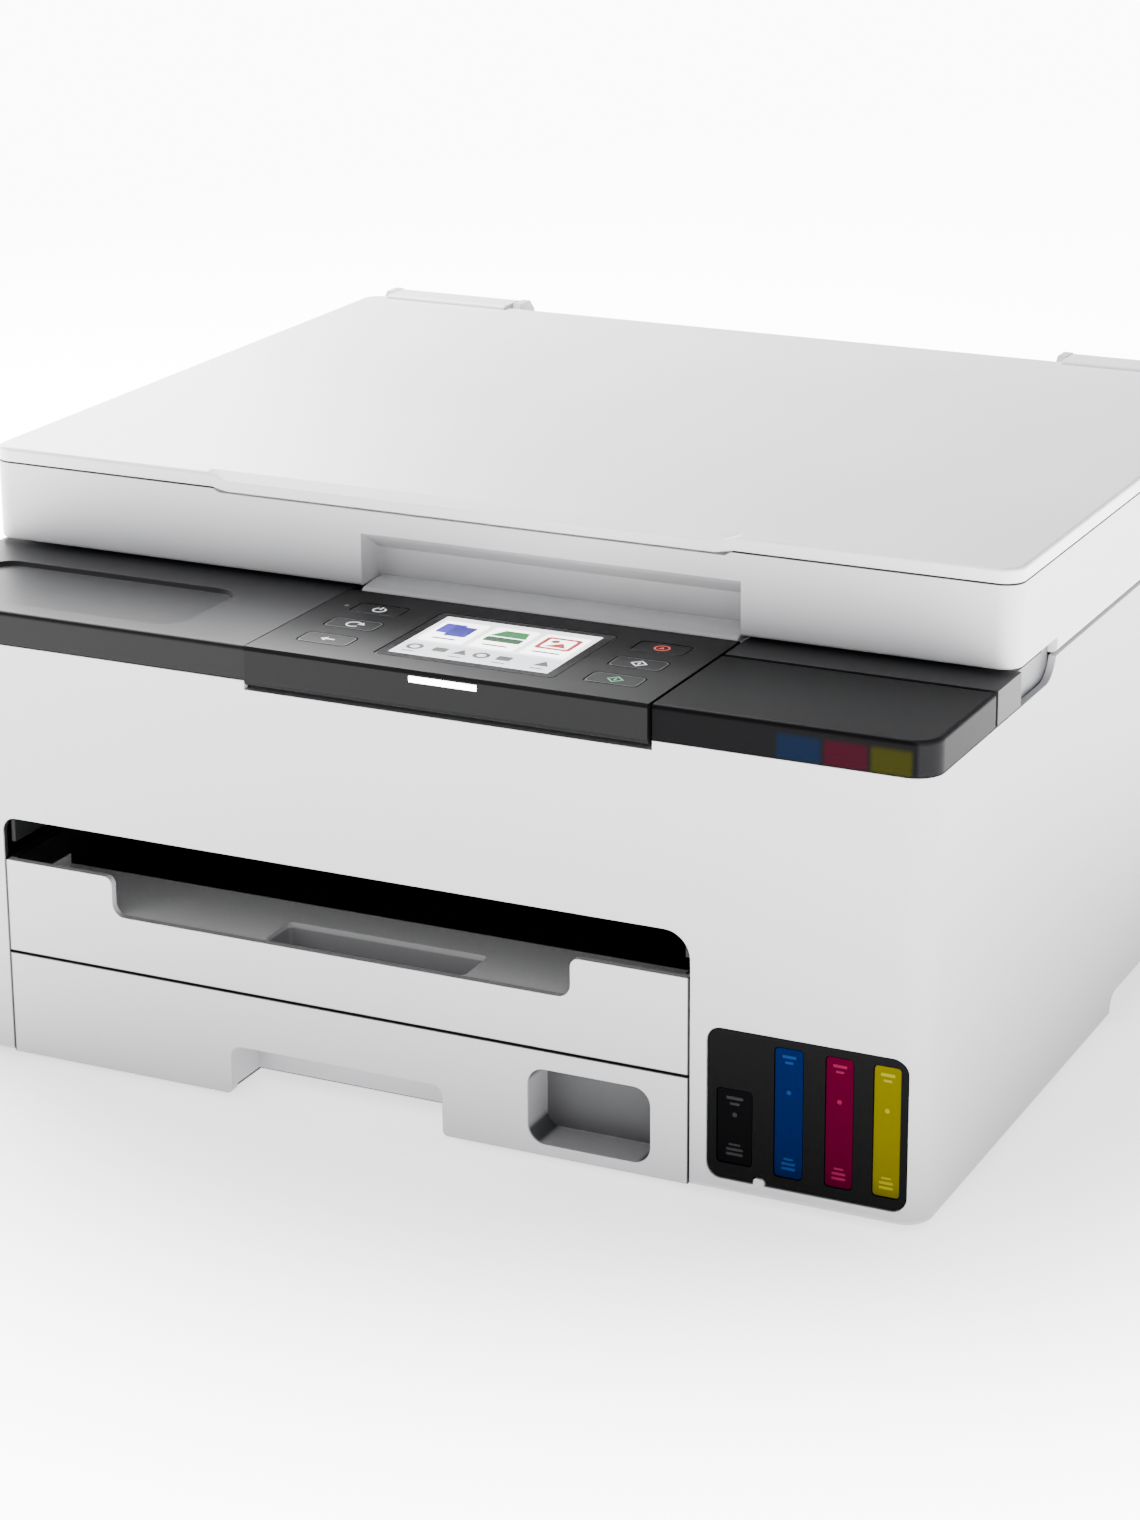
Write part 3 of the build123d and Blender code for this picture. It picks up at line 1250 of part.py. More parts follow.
with BuildPart() as maintenance_cartridge:
    with BuildSketch(Plane.XY.offset(12.0)):
        with Locations((146, 134)):
            Rectangle(52, 86)
    extrude(amount=27.0)
    fillet(maintenance_cartridge.edges().filter_by(Axis.Z), radius=2.0)
    # open tray of absorber at the inner end
    with BuildSketch(Plane.XY.offset(39.0)):
        with Locations((146, 116)):
            RectangleRounded(44, 42, 3)
    extrude(amount=-18, mode=Mode.SUBTRACT)
    # finger pull in the rear face
    with BuildSketch(Plane.XZ.offset(-178)):
        with Locations((146, 25)):
            RectangleRounded(34, 12, 4)
    extrude(amount=9, mode=Mode.SUBTRACT)
maintenance_cartridge.part.label = "maintenance_cartridge"
export_step(maintenance_cartridge.part, "parts/maintenance_cartridge.step")

# ------------------------------------------------------------------ rear cover with the curved paper guide
with BuildPart() as rear_cover:
    with BuildSketch(Plane.XZ.offset(-178.4)):
        with Locations((PX, 84.0)):
            RectangleRounded(196, 80, 6)
    extrude(amount=-11.1)
    fillet(rear_cover.faces().sort_by(Axis.Y)[-1].edges(), radius=4.0)
    with BuildSketch(Plane.XZ.offset(-178.4)):
        with Locations((PX, 84.0)):
            RectangleRounded(191, 75, 4)
    extrude(amount=-8.5, mode=Mode.SUBTRACT)
    # guide ribs reaching into the body
    with BuildSketch(Plane.YZ.offset(PX)):
        with BuildLine():
            Polyline((188, 52), (169, 54), (164, 62), (170, 76), (172, 88), (168, 104), (160, 114), (176, 116), (188, 118), (188, 52))
        make_face()
    extrude(amount=1.2, both=True)
    with BuildSketch(Plane.YZ.offset(PX - 36)):
        with BuildLine():
            Polyline((188, 52), (169, 54), (164, 62), (170, 76), (172, 88), (168, 104), (160, 114), (176, 116), (188, 118), (188, 52))
        make_face()
    extrude(amount=1.2, both=True)
    with BuildSketch(Plane.YZ.offset(PX + 36)):
        with BuildLine():
            Polyline((188, 52), (169, 54), (164, 62), (170, 76), (172, 88), (168, 104), (160, 114), (176, 116), (188, 118), (188, 52))
        make_face()
    extrude(amount=1.2, both=True)
    with BuildSketch(Plane.YZ.offset(PX - 72)):
        with BuildLine():
            Polyline((188, 52), (169, 54), (164, 62), (170, 76), (172, 88), (168, 104), (160, 114), (176, 116), (188, 118), (188, 52))
        make_face()
    extrude(amount=1.2, both=True)
    with BuildSketch(Plane.YZ.offset(PX + 72)):
        with BuildLine():
            Polyline((188, 52), (169, 54), (164, 62), (170, 76), (172, 88), (168, 104), (160, 114), (176, 116), (188, 118), (188, 52))
        make_face()
    extrude(amount=1.2, both=True)
    # finger dent at the top edge
    with BuildSketch(Plane.XY.offset(125)):
        with Locations((PX, 191)):
            SlotOverall(44, 9)
    extrude(amount=-9, mode=Mode.SUBTRACT)
rear_cover.part.label = "rear_cover"
export_step(rear_cover.part, "parts/rear_cover.step")

# ------------------------------------------------------------------ electronics
with BuildPart() as power_supply:
    with BuildSketch(Plane.XY.offset(6.0)):
        with Locations((-164, 60)):
            RectangleRounded(36, 190, 2)
    extrude(amount=34)
    with BuildSketch(Plane.XY.offset(40)):
        with Locations((-164, 60)):
            with GridLocations(0, 10, 1, 15):
                SlotOverall(26, 3)
    extrude(amount=-1.2, mode=Mode.SUBTRACT)
power_supply.part.label = "power_supply"
export_step(power_supply.part, "parts/power_supply.step")

with BuildPart() as ac_inlet:
    with BuildSketch(Plane.XZ.offset(-160)):
        with Locations((-162, 27)):
            RectangleRounded(28, 24, 2.6)
    extrude(amount=-18.6)
    with BuildSketch(Plane.XZ.offset(-178.6)):
        with Locations((-162, 27)):
            RectangleRounded(20, 13, 5)
    extrude(amount=14, mode=Mode.SUBTRACT)
ac_inlet.part.label = "ac_inlet"
export_step(ac_inlet.part, "parts/ac_inlet.step")

with BuildPart() as main_board:
    with BuildSketch(Plane.YZ.offset(-183.9)):
        with Locations((62, 99)):
            Rectangle(218, 72)
    extrude(amount=1.6)
    # chips and connectors
    with BuildSketch(Plane.YZ.offset(-182.3)):
        with Locations((-10, 110), (18, 84)):
            Rectangle(22, 22)
        with Locations((128, 78), (128, 94), (128, 110), (128, 124)):
            Rectangle(8, 12)
    extrude(amount=1.8)
    # square and network sockets at the rear edge
    with BuildSketch(Plane.XZ.offset(-163)):
        with Locations((-176.0, 86)):
            Rectangle(12.6, 12.6)
        with Locations((-174.6, 108)):
            Rectangle(15.4, 14.6)
    extrude(amount=-15.2)
    with BuildSketch(Plane.XZ.offset(-178.2)):
        with Locations((-176.0, 86)):
            Rectangle(9.0, 8.4)
        with Locations((-174.6, 108)):
            Rectangle(11.8, 9.4)
    extrude(amount=11, mode=Mode.SUBTRACT)
main_board.part.label = "main_board"
export_step(main_board.part, "parts/main_board.step")

# ------------------------------------------------------------------ ink tubes: four tubes, one wide bend, carriage to tank backs
with BuildPart() as ink_tubes:
    with BuildLine() as tube_1:
        FilletPolyline((CX, 40, 125), (CX, 40, 143.5), (0, 40, 143.5), (0, -40, 143.5), (176, -40, 143.5), (176, -40, 20), (176, -74, 20), radius=12)
    with BuildSketch(Plane(origin=tube_1.line @ 0, z_dir=tube_1.line % 0)):
        Circle(1.5)
    sweep(path=tube_1.line)
    with BuildLine() as tube_2:
        FilletPolyline((CX, 36, 125), (CX, 36, 143.5), (4, 36, 143.5), (4, -36, 143.5), (160, -36, 143.5), (160, -36, 20), (160, -74, 20), radius=12)
    with BuildSketch(Plane(origin=tube_2.line @ 0, z_dir=tube_2.line % 0)):
        Circle(1.5)
    sweep(path=tube_2.line)
    with BuildLine() as tube_3:
        FilletPolyline((CX, 32, 125), (CX, 32, 143.5), (8, 32, 143.5), (8, -32, 143.5), (144, -32, 143.5), (144, -32, 20), (144, -74, 20), radius=12)
    with BuildSketch(Plane(origin=tube_3.line @ 0, z_dir=tube_3.line % 0)):
        Circle(1.5)
    sweep(path=tube_3.line)
    with BuildLine() as tube_4:
        FilletPolyline((CX, 28, 125), (CX, 28, 143.5), (12, 28, 143.5), (12, -28, 143.5), (126, -28, 143.5), (126, -28, 20), (126, -74, 20), radius=12)
    with BuildSketch(Plane(origin=tube_4.line @ 0, z_dir=tube_4.line % 0)):
        Circle(1.5)
    sweep(path=tube_4.line)
ink_tubes.part.label = "ink_tubes"
export_step(ink_tubes.part, "parts/ink_tubes.step")
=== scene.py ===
import math
import bpy, bmesh
from mathutils import Vector, Matrix


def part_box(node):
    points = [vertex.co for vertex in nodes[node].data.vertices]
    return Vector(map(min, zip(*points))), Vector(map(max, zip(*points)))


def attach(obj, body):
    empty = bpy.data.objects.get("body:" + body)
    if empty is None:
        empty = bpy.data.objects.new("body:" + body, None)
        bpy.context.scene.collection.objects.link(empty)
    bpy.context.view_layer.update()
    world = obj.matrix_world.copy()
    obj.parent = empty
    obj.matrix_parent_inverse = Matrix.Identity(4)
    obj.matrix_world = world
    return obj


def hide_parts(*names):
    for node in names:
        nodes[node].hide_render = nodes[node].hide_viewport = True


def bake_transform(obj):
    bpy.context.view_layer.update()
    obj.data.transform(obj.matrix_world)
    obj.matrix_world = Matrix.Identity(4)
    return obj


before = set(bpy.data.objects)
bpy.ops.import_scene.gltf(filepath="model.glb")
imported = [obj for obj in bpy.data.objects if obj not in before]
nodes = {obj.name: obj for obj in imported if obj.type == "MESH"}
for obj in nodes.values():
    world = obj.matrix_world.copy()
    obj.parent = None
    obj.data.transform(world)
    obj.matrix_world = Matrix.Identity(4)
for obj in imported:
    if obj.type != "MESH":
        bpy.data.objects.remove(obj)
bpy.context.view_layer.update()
MM = 0.001


def lin(c):
    """sRGB 0..255 to linear"""
    out = []
    for v in c:
        v = v / 255.0
        out.append(v / 12.92 if v <= 0.04045 else ((v + 0.055) / 1.055) ** 2.4)
    return tuple(out) + (1.0,)


# ---------------------------------------------------------------- materials
def principled(name):
    m = bpy.data.materials.new(name)
    m.use_nodes = True
    nt = m.node_tree
    p = nt.nodes["Principled BSDF"]
    return m, nt, p


def plastic(name, col, rough, grain=0.02, scale=2600.0, mottle=0.03, spec=0.5, coat=0.0, bevel=0.0004, metal=0.0, aniso=None):
    """Moulded surface: a fine spark texture in the normal, a very slight unevenness of tone and gloss, soft edges."""
    m, nt, p = principled(name)
    p.inputs["Metallic"].default_value = metal
    p.inputs["Specular IOR Level"].default_value = spec
    p.inputs["Coat Weight"].default_value = coat
    p.inputs["Coat Roughness"].default_value = 0.06
    tc = nt.nodes.new("ShaderNodeTexCoord")
    n1 = nt.nodes.new("ShaderNodeTexNoise")
    n1.inputs["Scale"].default_value = scale
    n1.inputs["Detail"].default_value = 2.0
    if aniso:
        mp = nt.nodes.new("ShaderNodeMapping")
        mp.inputs["Scale"].default_value = aniso
        nt.links.new(tc.outputs["Object"], mp.inputs["Vector"])
        nt.links.new(mp.outputs["Vector"], n1.inputs["Vector"])
    else:
        nt.links.new(tc.outputs["Object"], n1.inputs["Vector"])
    n2 = nt.nodes.new("ShaderNodeTexNoise")
    n2.inputs["Scale"].default_value = 14.0
    n2.inputs["Detail"].default_value = 3.0
    nt.links.new(tc.outputs["Object"], n2.inputs["Vector"])
    mix = nt.nodes.new("ShaderNodeMix")
    mix.data_type = "RGBA"
    a = lin(col)
    mix.inputs[6].default_value = tuple(v * (1 - mottle) for v in a[:3]) + (1,)
    mix.inputs[7].default_value = tuple(min(1, v * (1 + mottle)) for v in a[:3]) + (1,)
    nt.links.new(n2.outputs["Fac"], mix.inputs[0])
    nt.links.new(mix.outputs[2], p.inputs["Base Color"])
    rr = nt.nodes.new("ShaderNodeMapRange")
    rr.inputs["To Min"].default_value = max(0.02, rough - 0.04)
    rr.inputs["To Max"].default_value = min(1.0, rough + 0.04)
    nt.links.new(n2.outputs["Fac"], rr.inputs["Value"])
    nt.links.new(rr.outputs["Result"], p.inputs["Roughness"])
    bump = nt.nodes.new("ShaderNodeBump")
    bump.inputs["Strength"].default_value = min(1.0, grain * 10)
    bump.inputs["Distance"].default_value = 0.00002
    nt.links.new(n1.outputs["Fac"], bump.inputs["Height"])
    if bevel:
        bv = nt.nodes.new("ShaderNodeBevel")
        bv.samples = 4
        bv.inputs["Radius"].default_value = bevel
        nt.links.new(bv.outputs["Normal"], bump.inputs["Normal"])
    nt.links.new(bump.outputs["Normal"], p.inputs["Normal"])
    return m


def glow(name, col, strength, rough=0.3):
    m, nt, p = principled(name)
    c = lin(col)
    p.inputs["Base Color"].default_value = c
    p.inputs["Roughness"].default_value = rough
    p.inputs["Emission Color"].default_value = c
    p.inputs["Emission Strength"].default_value = strength
    return m


def zones(m, axis, edges, cols):
    """Bands of tone along one object axis, written into the base colour of m (position in metres)."""
    nt = m.node_tree
    p = nt.nodes["Principled BSDF"]
    old = p.inputs["Base Color"].links[0].from_socket
    tc = nt.nodes.new("ShaderNodeTexCoord")
    sp = nt.nodes.new("ShaderNodeSeparateXYZ")
    nt.links.new(tc.outputs["Object"], sp.inputs["Vector"])
    for (lo, hi, soft), c in zip(edges, cols):
        up = nt.nodes.new("ShaderNodeMapRange")
        up.interpolation_type = "SMOOTHSTEP"
        up.inputs["From Min"].default_value = lo - soft
        up.inputs["From Max"].default_value = lo + soft
        nt.links.new(sp.outputs[axis], up.inputs["Value"])
        dn = nt.nodes.new("ShaderNodeMapRange")
        dn.interpolation_type = "SMOOTHSTEP"
        dn.inputs["From Min"].default_value = hi - soft
        dn.inputs["From Max"].default_value = hi + soft
        dn.inputs["To Min"].default_value = 1.0
        dn.inputs["To Max"].default_value = 0.0
        nt.links.new(sp.outputs[axis], dn.inputs["Value"])
        mu = nt.nodes.new("ShaderNodeMath")
        mu.operation = "MULTIPLY"
        nt.links.new(up.outputs["Result"], mu.inputs[0])
        nt.links.new(dn.outputs["Result"], mu.inputs[1])
        mx = nt.nodes.new("ShaderNodeMix")
        mx.data_type = "RGBA"
        nt.links.new(mu.outputs[0], mx.inputs[0])
        nt.links.new(old, mx.inputs[6])
        mx.inputs[7].default_value = lin(c)
        old = mx.outputs[2]
    nt.links.new(old, p.inputs["Base Color"])
    return m


white = plastic("white_body", (188, 188, 191), 0.52, grain=0.03)
white_lid = plastic("white_lid", (226, 226, 228), 0.36, grain=0.02)
white_in = plastic("white_inner", (205, 205, 208), 0.55, grain=0.03)
dark = plastic("dark_cover", (40, 40, 42), 0.42, grain=0.03, spec=0.08)
smoke = plastic("smoke_cover", (50, 50, 53), 0.22, grain=0.01, coat=0.5)
piano = plastic("panel_black", (11, 11, 12), 0.34, grain=0.01, spec=0.06)
keymat = plastic("key_black", (13, 13, 14), 0.36, grain=0.01, spec=0.07, bevel=0.0003)
screen_glass = plastic("screen_glass", (9, 9, 10), 0.12, grain=0.0, spec=0.12, bevel=0.0002)
window = plastic("window_smoke", (6, 6, 7), 0.25, grain=0.0, spec=0.03, bevel=0.0003)
grey_trim = plastic("grey_trim", (168, 169, 171), 0.38, grain=0.02)
black_pl = plastic("black_plastic", (22, 22, 23), 0.58, grain=0.05, spec=0.2)
black_in = plastic("black_inner", (6, 6, 7), 0.6, grain=0.04, spec=0.08)
grey_pl = plastic("grey_plastic", (118, 119, 122), 0.5, grain=0.05)
dgrey_pl = plastic("dark_grey_plastic", (70, 70, 73), 0.5, grain=0.05)
rubber = plastic("rubber", (32, 32, 33), 0.85, grain=0.08, scale=1400)
steel = plastic("brushed_steel", (170, 172, 175), 0.32, grain=0.04, metal=1.0, aniso=(1.0, 60.0, 60.0), scale=160)
zinc = plastic("zinc_plate", (176, 178, 176), 0.42, grain=0.04, metal=1.0, mottle=0.12, scale=900)
pcb = plastic("circuit_board", (18, 92, 52), 0.35, grain=0.05, mottle=0.18, scale=700)
chipm = plastic("chip_black", (28, 28, 30), 0.5, grain=0.05)
copper = plastic("copper", (200, 120, 70), 0.35, metal=1.0, grain=0.06)
foam = plastic("white_foam", (236, 236, 234), 0.8, grain=0.12, scale=1100)
tubem = plastic("tube_clear", (196, 198, 200), 0.25, grain=0.0, coat=0.4, bevel=0)
strip_m = plastic("encoder_film", (120, 124, 130), 0.2, grain=0.0)

glass = bpy.data.materials.new("platen_glass")
glass.use_nodes = True
gp = glass.node_tree.nodes["Principled BSDF"]
gp.inputs["Base Color"].default_value = (0.93, 0.97, 0.96, 1)
gp.inputs["Roughness"].default_value = 0.03
gp.inputs["Transmission Weight"].default_value = 1.0
gp.inputs["IOR"].default_value = 1.45

INK = {"black": (8, 8, 9), "cyan": (0, 16, 56), "magenta": (60, 0, 24), "yellow": (84, 78, 0)}
tank_m = {}
for k, c in INK.items():
    m = plastic("tank_" + k, (176, 177, 180), 0.3, grain=0.0, spec=0.0, mottle=0.05, bevel=0.0003)
    dk = tuple(int(v * 0.72) for v in c)
    zones(m, 2, [(0.0, 0.094, 0.0012), (0.0, 0.0125, 0.006)], [c, dk])
    tank_m[k] = m
cap_m = {k: plastic("cap_" + k, {"black": (40, 40, 42), "cyan": (24, 96, 170), "magenta": (176, 30, 104), "yellow": (206, 190, 30)}[k], 0.35, grain=0.02) for k in INK}

# smoked cover of the tanks: the coloured caps show faintly through its front wall
cover_m = plastic("tank_cover_smoke", (24, 24, 25), 0.4, grain=0.01, spec=0.02)
nt = cover_m.node_tree
p = nt.nodes["Principled BSDF"]
base = p.inputs["Base Color"].links[0].from_socket
tc = nt.nodes.new("ShaderNodeTexCoord")
sp = nt.nodes.new("ShaderNodeSeparateXYZ")
nt.links.new(tc.outputs["Object"], sp.inputs["Vector"])


def ramp(out, lo, hi, inv=False, soft=0.0004):
    r = nt.nodes.new("ShaderNodeMapRange")
    r.interpolation_type = "SMOOTHSTEP"
    r.inputs["From Min"].default_value = lo - soft
    r.inputs["From Max"].default_value = lo + soft
    nt.links.new(out, r.inputs["Value"])
    q = nt.nodes.new("ShaderNodeMapRange")
    q.interpolation_type = "SMOOTHSTEP"
    q.inputs["From Min"].default_value = hi - soft
    q.inputs["From Max"].default_value = hi + soft
    q.inputs["To Min"].default_value = 1.0
    q.inputs["To Max"].default_value = 0.0
    nt.links.new(out, q.inputs["Value"])
    t = nt.nodes.new("ShaderNodeMath")
    t.operation = "MULTIPLY"
    nt.links.new(r.outputs["Result"], t.inputs[0])
    nt.links.new(q.outputs["Result"], t.inputs[1])
    return t.outputs[0]


def times(a, b):
    t = nt.nodes.new("ShaderNodeMath")
    t.operation = "MULTIPLY"
    nt.links.new(a, t.inputs[0])
    nt.links.new(b, t.inputs[1])
    return t.outputs[0]


front = ramp(sp.outputs[1], -0.20, -0.1872, soft=0.0003)
band = ramp(sp.outputs[2], 0.1478, 0.1558, soft=0.0012)
frontcol = nt.nodes.new("ShaderNodeMix")
frontcol.data_type = "RGBA"
nt.links.new(front, frontcol.inputs[0])
nt.links.new(base, frontcol.inputs[6])
frontcol.inputs[7].default_value = lin((7, 7, 8))
prev = frontcol.outputs[2]
for x1, x2, c in ((0.1372, 0.1512, (2, 12, 30)), (0.1524, 0.1660, (34, 0, 10)), (0.1672, 0.1800, (30, 30, 0))):
    mask = times(times(front, band), ramp(sp.outputs[0], x1, x2, soft=0.0009))
    mx = nt.nodes.new("ShaderNodeMix")
    mx.data_type = "RGBA"
    nt.links.new(mask, mx.inputs[0])
    nt.links.new(prev, mx.inputs[6])
    mx.inputs[7].default_value = lin(c)
    prev = mx.outputs[2]
nt.links.new(prev, p.inputs["Base Color"])

light_m = glow("status_light", (255, 255, 255), 9.0)


def patch(m, lo, hi, col, soft=0.0004):
    """Tone of the surfaces inside one box of the object's own space (mm): painted shade in recesses, seams and the dark
    interior, painted light on the tray's front strip, and some areas of another tone.
    """
    nt = m.node_tree
    p = nt.nodes["Principled BSDF"]
    old = p.inputs["Base Color"].links[0].from_socket
    tc = nt.nodes.new("ShaderNodeTexCoord")
    sp = nt.nodes.new("ShaderNodeSeparateXYZ")
    nt.links.new(tc.outputs["Object"], sp.inputs["Vector"])
    acc = None
    for ax in range(3):
        for edge, a0, a1 in ((lo[ax], 0.0, 1.0), (hi[ax], 1.0, 0.0)):
            r = nt.nodes.new("ShaderNodeMapRange")
            r.interpolation_type = "SMOOTHSTEP"
            r.inputs["From Min"].default_value = edge * MM - soft
            r.inputs["From Max"].default_value = edge * MM + soft
            r.inputs["To Min"].default_value = a0
            r.inputs["To Max"].default_value = a1
            nt.links.new(sp.outputs[ax], r.inputs["Value"])
            if acc is None:
                acc = r.outputs["Result"]
            else:
                t = nt.nodes.new("ShaderNodeMath")
                t.operation = "MULTIPLY"
                nt.links.new(acc, t.inputs[0])
                nt.links.new(r.outputs["Result"], t.inputs[1])
                acc = t.outputs[0]
    mx = nt.nodes.new("ShaderNodeMix")
    mx.data_type = "RGBA"
    nt.links.new(acc, mx.inputs[0])
    nt.links.new(old, mx.inputs[6])
    mx.inputs[7].default_value = lin(col)
    nt.links.new(mx.outputs[2], p.inputs["Base Color"])


white_cassette = plastic("white_cassette", (180, 180, 183), 0.52, grain=0.03)
# painted shade: the square recess in the cassette front is darkened to mid grey
patch(white_cassette, (53.5, -187.3, 7.4), (96.0, -160.0, 32.9), (66, 66, 68))
# painted shade: a thin dark band on the cassette where it meets the output tray, standing in for the shade in the seam
patch(white_cassette, (-145, -190, 38.95), (115, -150, 39.8), (34, 34, 36), 0.0001)
white_tray = plastic("white_tray", (180, 180, 183), 0.5, grain=0.03)
# painted light: the front strip of the tray floor is made much lighter than the rest of the moulding
patch(white_tray, (-137.6, -185.3, 57.2), (106.6, -153.0, 66.0), (244, 244, 245))
# painted shade: the tray inside the output slot, behind the front strip, and the slot's side walls are near black
patch(white_tray, (-139.5, -153.0, 57.2), (108.2, -15.0, 92.0), (8, 8, 9))
patch(white_tray, (-145.0, -184.9, 63.0), (-137.0, -15.0, 92.0), (8, 8, 9))
patch(white_tray, (106.0, -184.9, 63.0), (115.0, -15.0, 92.0), (8, 8, 9))
# painted shade: a thin dark band on the tray at the seam above the cassette
patch(white_tray, (-145, -190, 39.6), (115, -150, 40.35), (34, 34, 36), 0.0001)
# painted shade: thin dark bands at the left and right edges of the cassette and tray fronts, standing in for the shade
# in the side seams
for m_, n_ in ((white_cassette, "cassette"), (white_tray, "output_tray")):
    lo_, hi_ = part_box(n_)
    patch(m_, (lo_[0] * 1000 - 1, -190, 2), (lo_[0] * 1000 + 0.35, -150, 82), (40, 40, 42), 0.0001)
    patch(m_, (hi_[0] * 1000 - 0.35, -190, 2), (hi_[0] * 1000 + 1, -150, 82), (40, 40, 42), 0.0001)
# painted shade: a dark band along the lid's bottom edge at the front and right side, standing in for the shade in the
# gap above the scanner
lo_, hi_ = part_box("document_lid")
patch(white_lid, (-190, -200, lo_[2] * 1000 - 0.4), (190, -112, lo_[2] * 1000 + 0.5), (60, 60, 62), 0.0001)
patch(white_lid, (184.6, -112, lo_[2] * 1000 - 0.4), (190, 180, lo_[2] * 1000 + 0.5), (60, 60, 62), 0.0001)
white_body = plastic("white_housing", (178, 178, 181), 0.52, grain=0.03)
# painted shade: the housing's inner surfaces seen through the tray and cassette openings are near black
patch(white_body, (-144.0, -187.4, 3.6), (113.4, 172.0, 96.0), (16, 16, 17), 0.0001)
white_scan = plastic("white_scanner", (206, 206, 209), 0.5, grain=0.03)
# painted shade: the finger recess behind the panel is darker than the rest of the scanner housing
patch(white_scan, (-41.8, -115.4, 158.0), (94.7, -102.6, 176.0), (190, 190, 192), 0.0008)
# painted shade: a dark band on the scanner's top rim at the front and right side, standing in for the shade in the gap
# under the lid
patch(white_scan, (-190, -200, 187.4), (190, -112.5, 188.5), (40, 40, 42), 0.0001)
patch(white_scan, (184.6, -200, 187.4), (190, 180, 188.5), (40, 40, 42), 0.0001)

use = {
    "main_housing": white_body, "document_lid": white_lid, "scanner_housing": white_scan, "output_tray": white_tray, "cassette": white_cassette, "rear_cover": white,
    "lid_hinges": white, "base_frame": black_pl, "rubber_feet": rubber, "left_top_cover": dark, "filler_deck": dark, "tank_cover": cover_m,
    "grip_trims": plastic("trim_dark", (84, 85, 88), 0.4, grain=0.02, spec=0.2), "control_panel": piano, "touch_screen": screen_glass, "status_light": light_m,
    "power_key": keymat, "home_key": keymat, "back_key": keymat, "stop_key": keymat, "mono_start_key": keymat, "colour_start_key": keymat,
    "platen_glass": glass, "scan_rail": steel, "scan_bar": black_pl, "pressure_pad": foam, "tank_window": window,
    "tank_black": tank_m["black"], "tank_cyan": tank_m["cyan"], "tank_magenta": tank_m["magenta"], "tank_yellow": tank_m["yellow"],
    "cap_black": cap_m["black"], "cap_cyan": cap_m["cyan"], "cap_magenta": cap_m["magenta"], "cap_yellow": cap_m["yellow"],
    "guide_left": dgrey_pl, "guide_right": dgrey_pl, "guide_end": dgrey_pl, "output_guide": black_pl, "chassis_plate": zinc,
    "encoder_strip": strip_m, "carriage_belt": rubber, "carriage_motor": steel, "motor_pulley": grey_pl, "idler_pulley": grey_pl,
    "carriage": black_pl, "printhead": dgrey_pl, "platen": black_pl, "feed_roller": rubber, "eject_roller": rubber, "transfer_gear": grey_pl,
    "feed_motor": steel, "pickup_arm": grey_pl, "pickup_roller": rubber, "purge_unit": black_pl, "maintenance_cartridge": dgrey_pl,
    "power_supply": black_pl, "ac_inlet": black_pl, "main_board": pcb, "ink_tubes": tubem,
}
for n, m in use.items():
    o = nodes.get(n)
    if o is None:
        continue
    o.data.materials.clear()
    o.data.materials.append(m)


patch(dark, (-190, -189.5, 146), (-44, -187.3, 159.0), (12, 12, 13), 0.0003)
patch(pcb, (-190, 150, 60), (-150, 180, 140), (46, 46, 48))

# ---------------------------------------------------------------- mesh helpers (mm in, metres out)
def add_mesh(name, bm, mat, body, bevel=0.0, smooth=False, seg=2):
    me = bpy.data.meshes.new(name)
    bmesh.ops.recalc_face_normals(bm, faces=bm.faces)
    bm.to_mesh(me)
    bm.free()
    me.transform(Matrix.Scale(MM, 4))
    me.materials.append(mat)
    o = bpy.data.objects.new(name, me)
    bpy.context.scene.collection.objects.link(o)
    if smooth:
        for f in me.polygons:
            f.use_smooth = True
    if bevel:
        md = o.modifiers.new("bevel", "BEVEL")
        md.width = bevel * MM
        md.segments = seg
        md.limit_method = "ANGLE"
    if body:
        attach(o, body)
    return o


FR = {
    "XY": lambda a, b, c: (a, b, c),
    "XZ": lambda a, b, c: (a, c, b),
    "YZ": lambda a, b, c: (c, a, b),
}


def slab(bm, pts, h0, h1, plane="XY", hole=None):
    """A closed prism over the outline pts, between h0 and h1 along the plane's normal. hole: inner outline with the same count."""
    f = FR[plane]
    lo = [bm.verts.new(f(x, y, h0)) for x, y in pts]
    hi = [bm.verts.new(f(x, y, h1)) for x, y in pts]
    n = len(pts)
    if hole is None:
        bm.faces.new(lo)
        bm.faces.new(hi)
        for i in range(n):
            j = (i + 1) % n
            bm.faces.new((lo[i], lo[j], hi[j], hi[i]))
    else:
        li = [bm.verts.new(f(x, y, h0)) for x, y in hole]
        ui = [bm.verts.new(f(x, y, h1)) for x, y in hole]
        for i in range(n):
            j = (i + 1) % n
            bm.faces.new((lo[i], lo[j], hi[j], hi[i]))
            bm.faces.new((li[i], li[j], ui[j], ui[i]))
            bm.faces.new((lo[i], lo[j], li[j], li[i]))
            bm.faces.new((hi[i], hi[j], ui[j], ui[i]))


def rr(cx, cy, w, h, r, n=5):
    pts = []
    for k, (sx, sy) in enumerate(((1, 1), (-1, 1), (-1, -1), (1, -1))):
        for i in range(n + 1):
            a = math.radians(90 * k + 90 * i / n)
            pts.append((cx + sx * (w / 2 - r) + r * math.cos(a), cy + sy * (h / 2 - r) + r * math.sin(a)))
    return pts


def circ(cx, cy, r, n=28, a0=0.0, a1=360.0):
    return [(cx + r * math.cos(math.radians(a0 + (a1 - a0) * i / n)), cy + r * math.sin(math.radians(a0 + (a1 - a0) * i / n))) for i in range(n if a1 - a0 >= 360 else n + 1)]


def arc_band(cx, cy, r, w, a0, a1, n=20):
    o = circ(cx, cy, r + w / 2, n, a0, a1)
    i = circ(cx, cy, r - w / 2, n, a0, a1)
    return o + i[::-1]


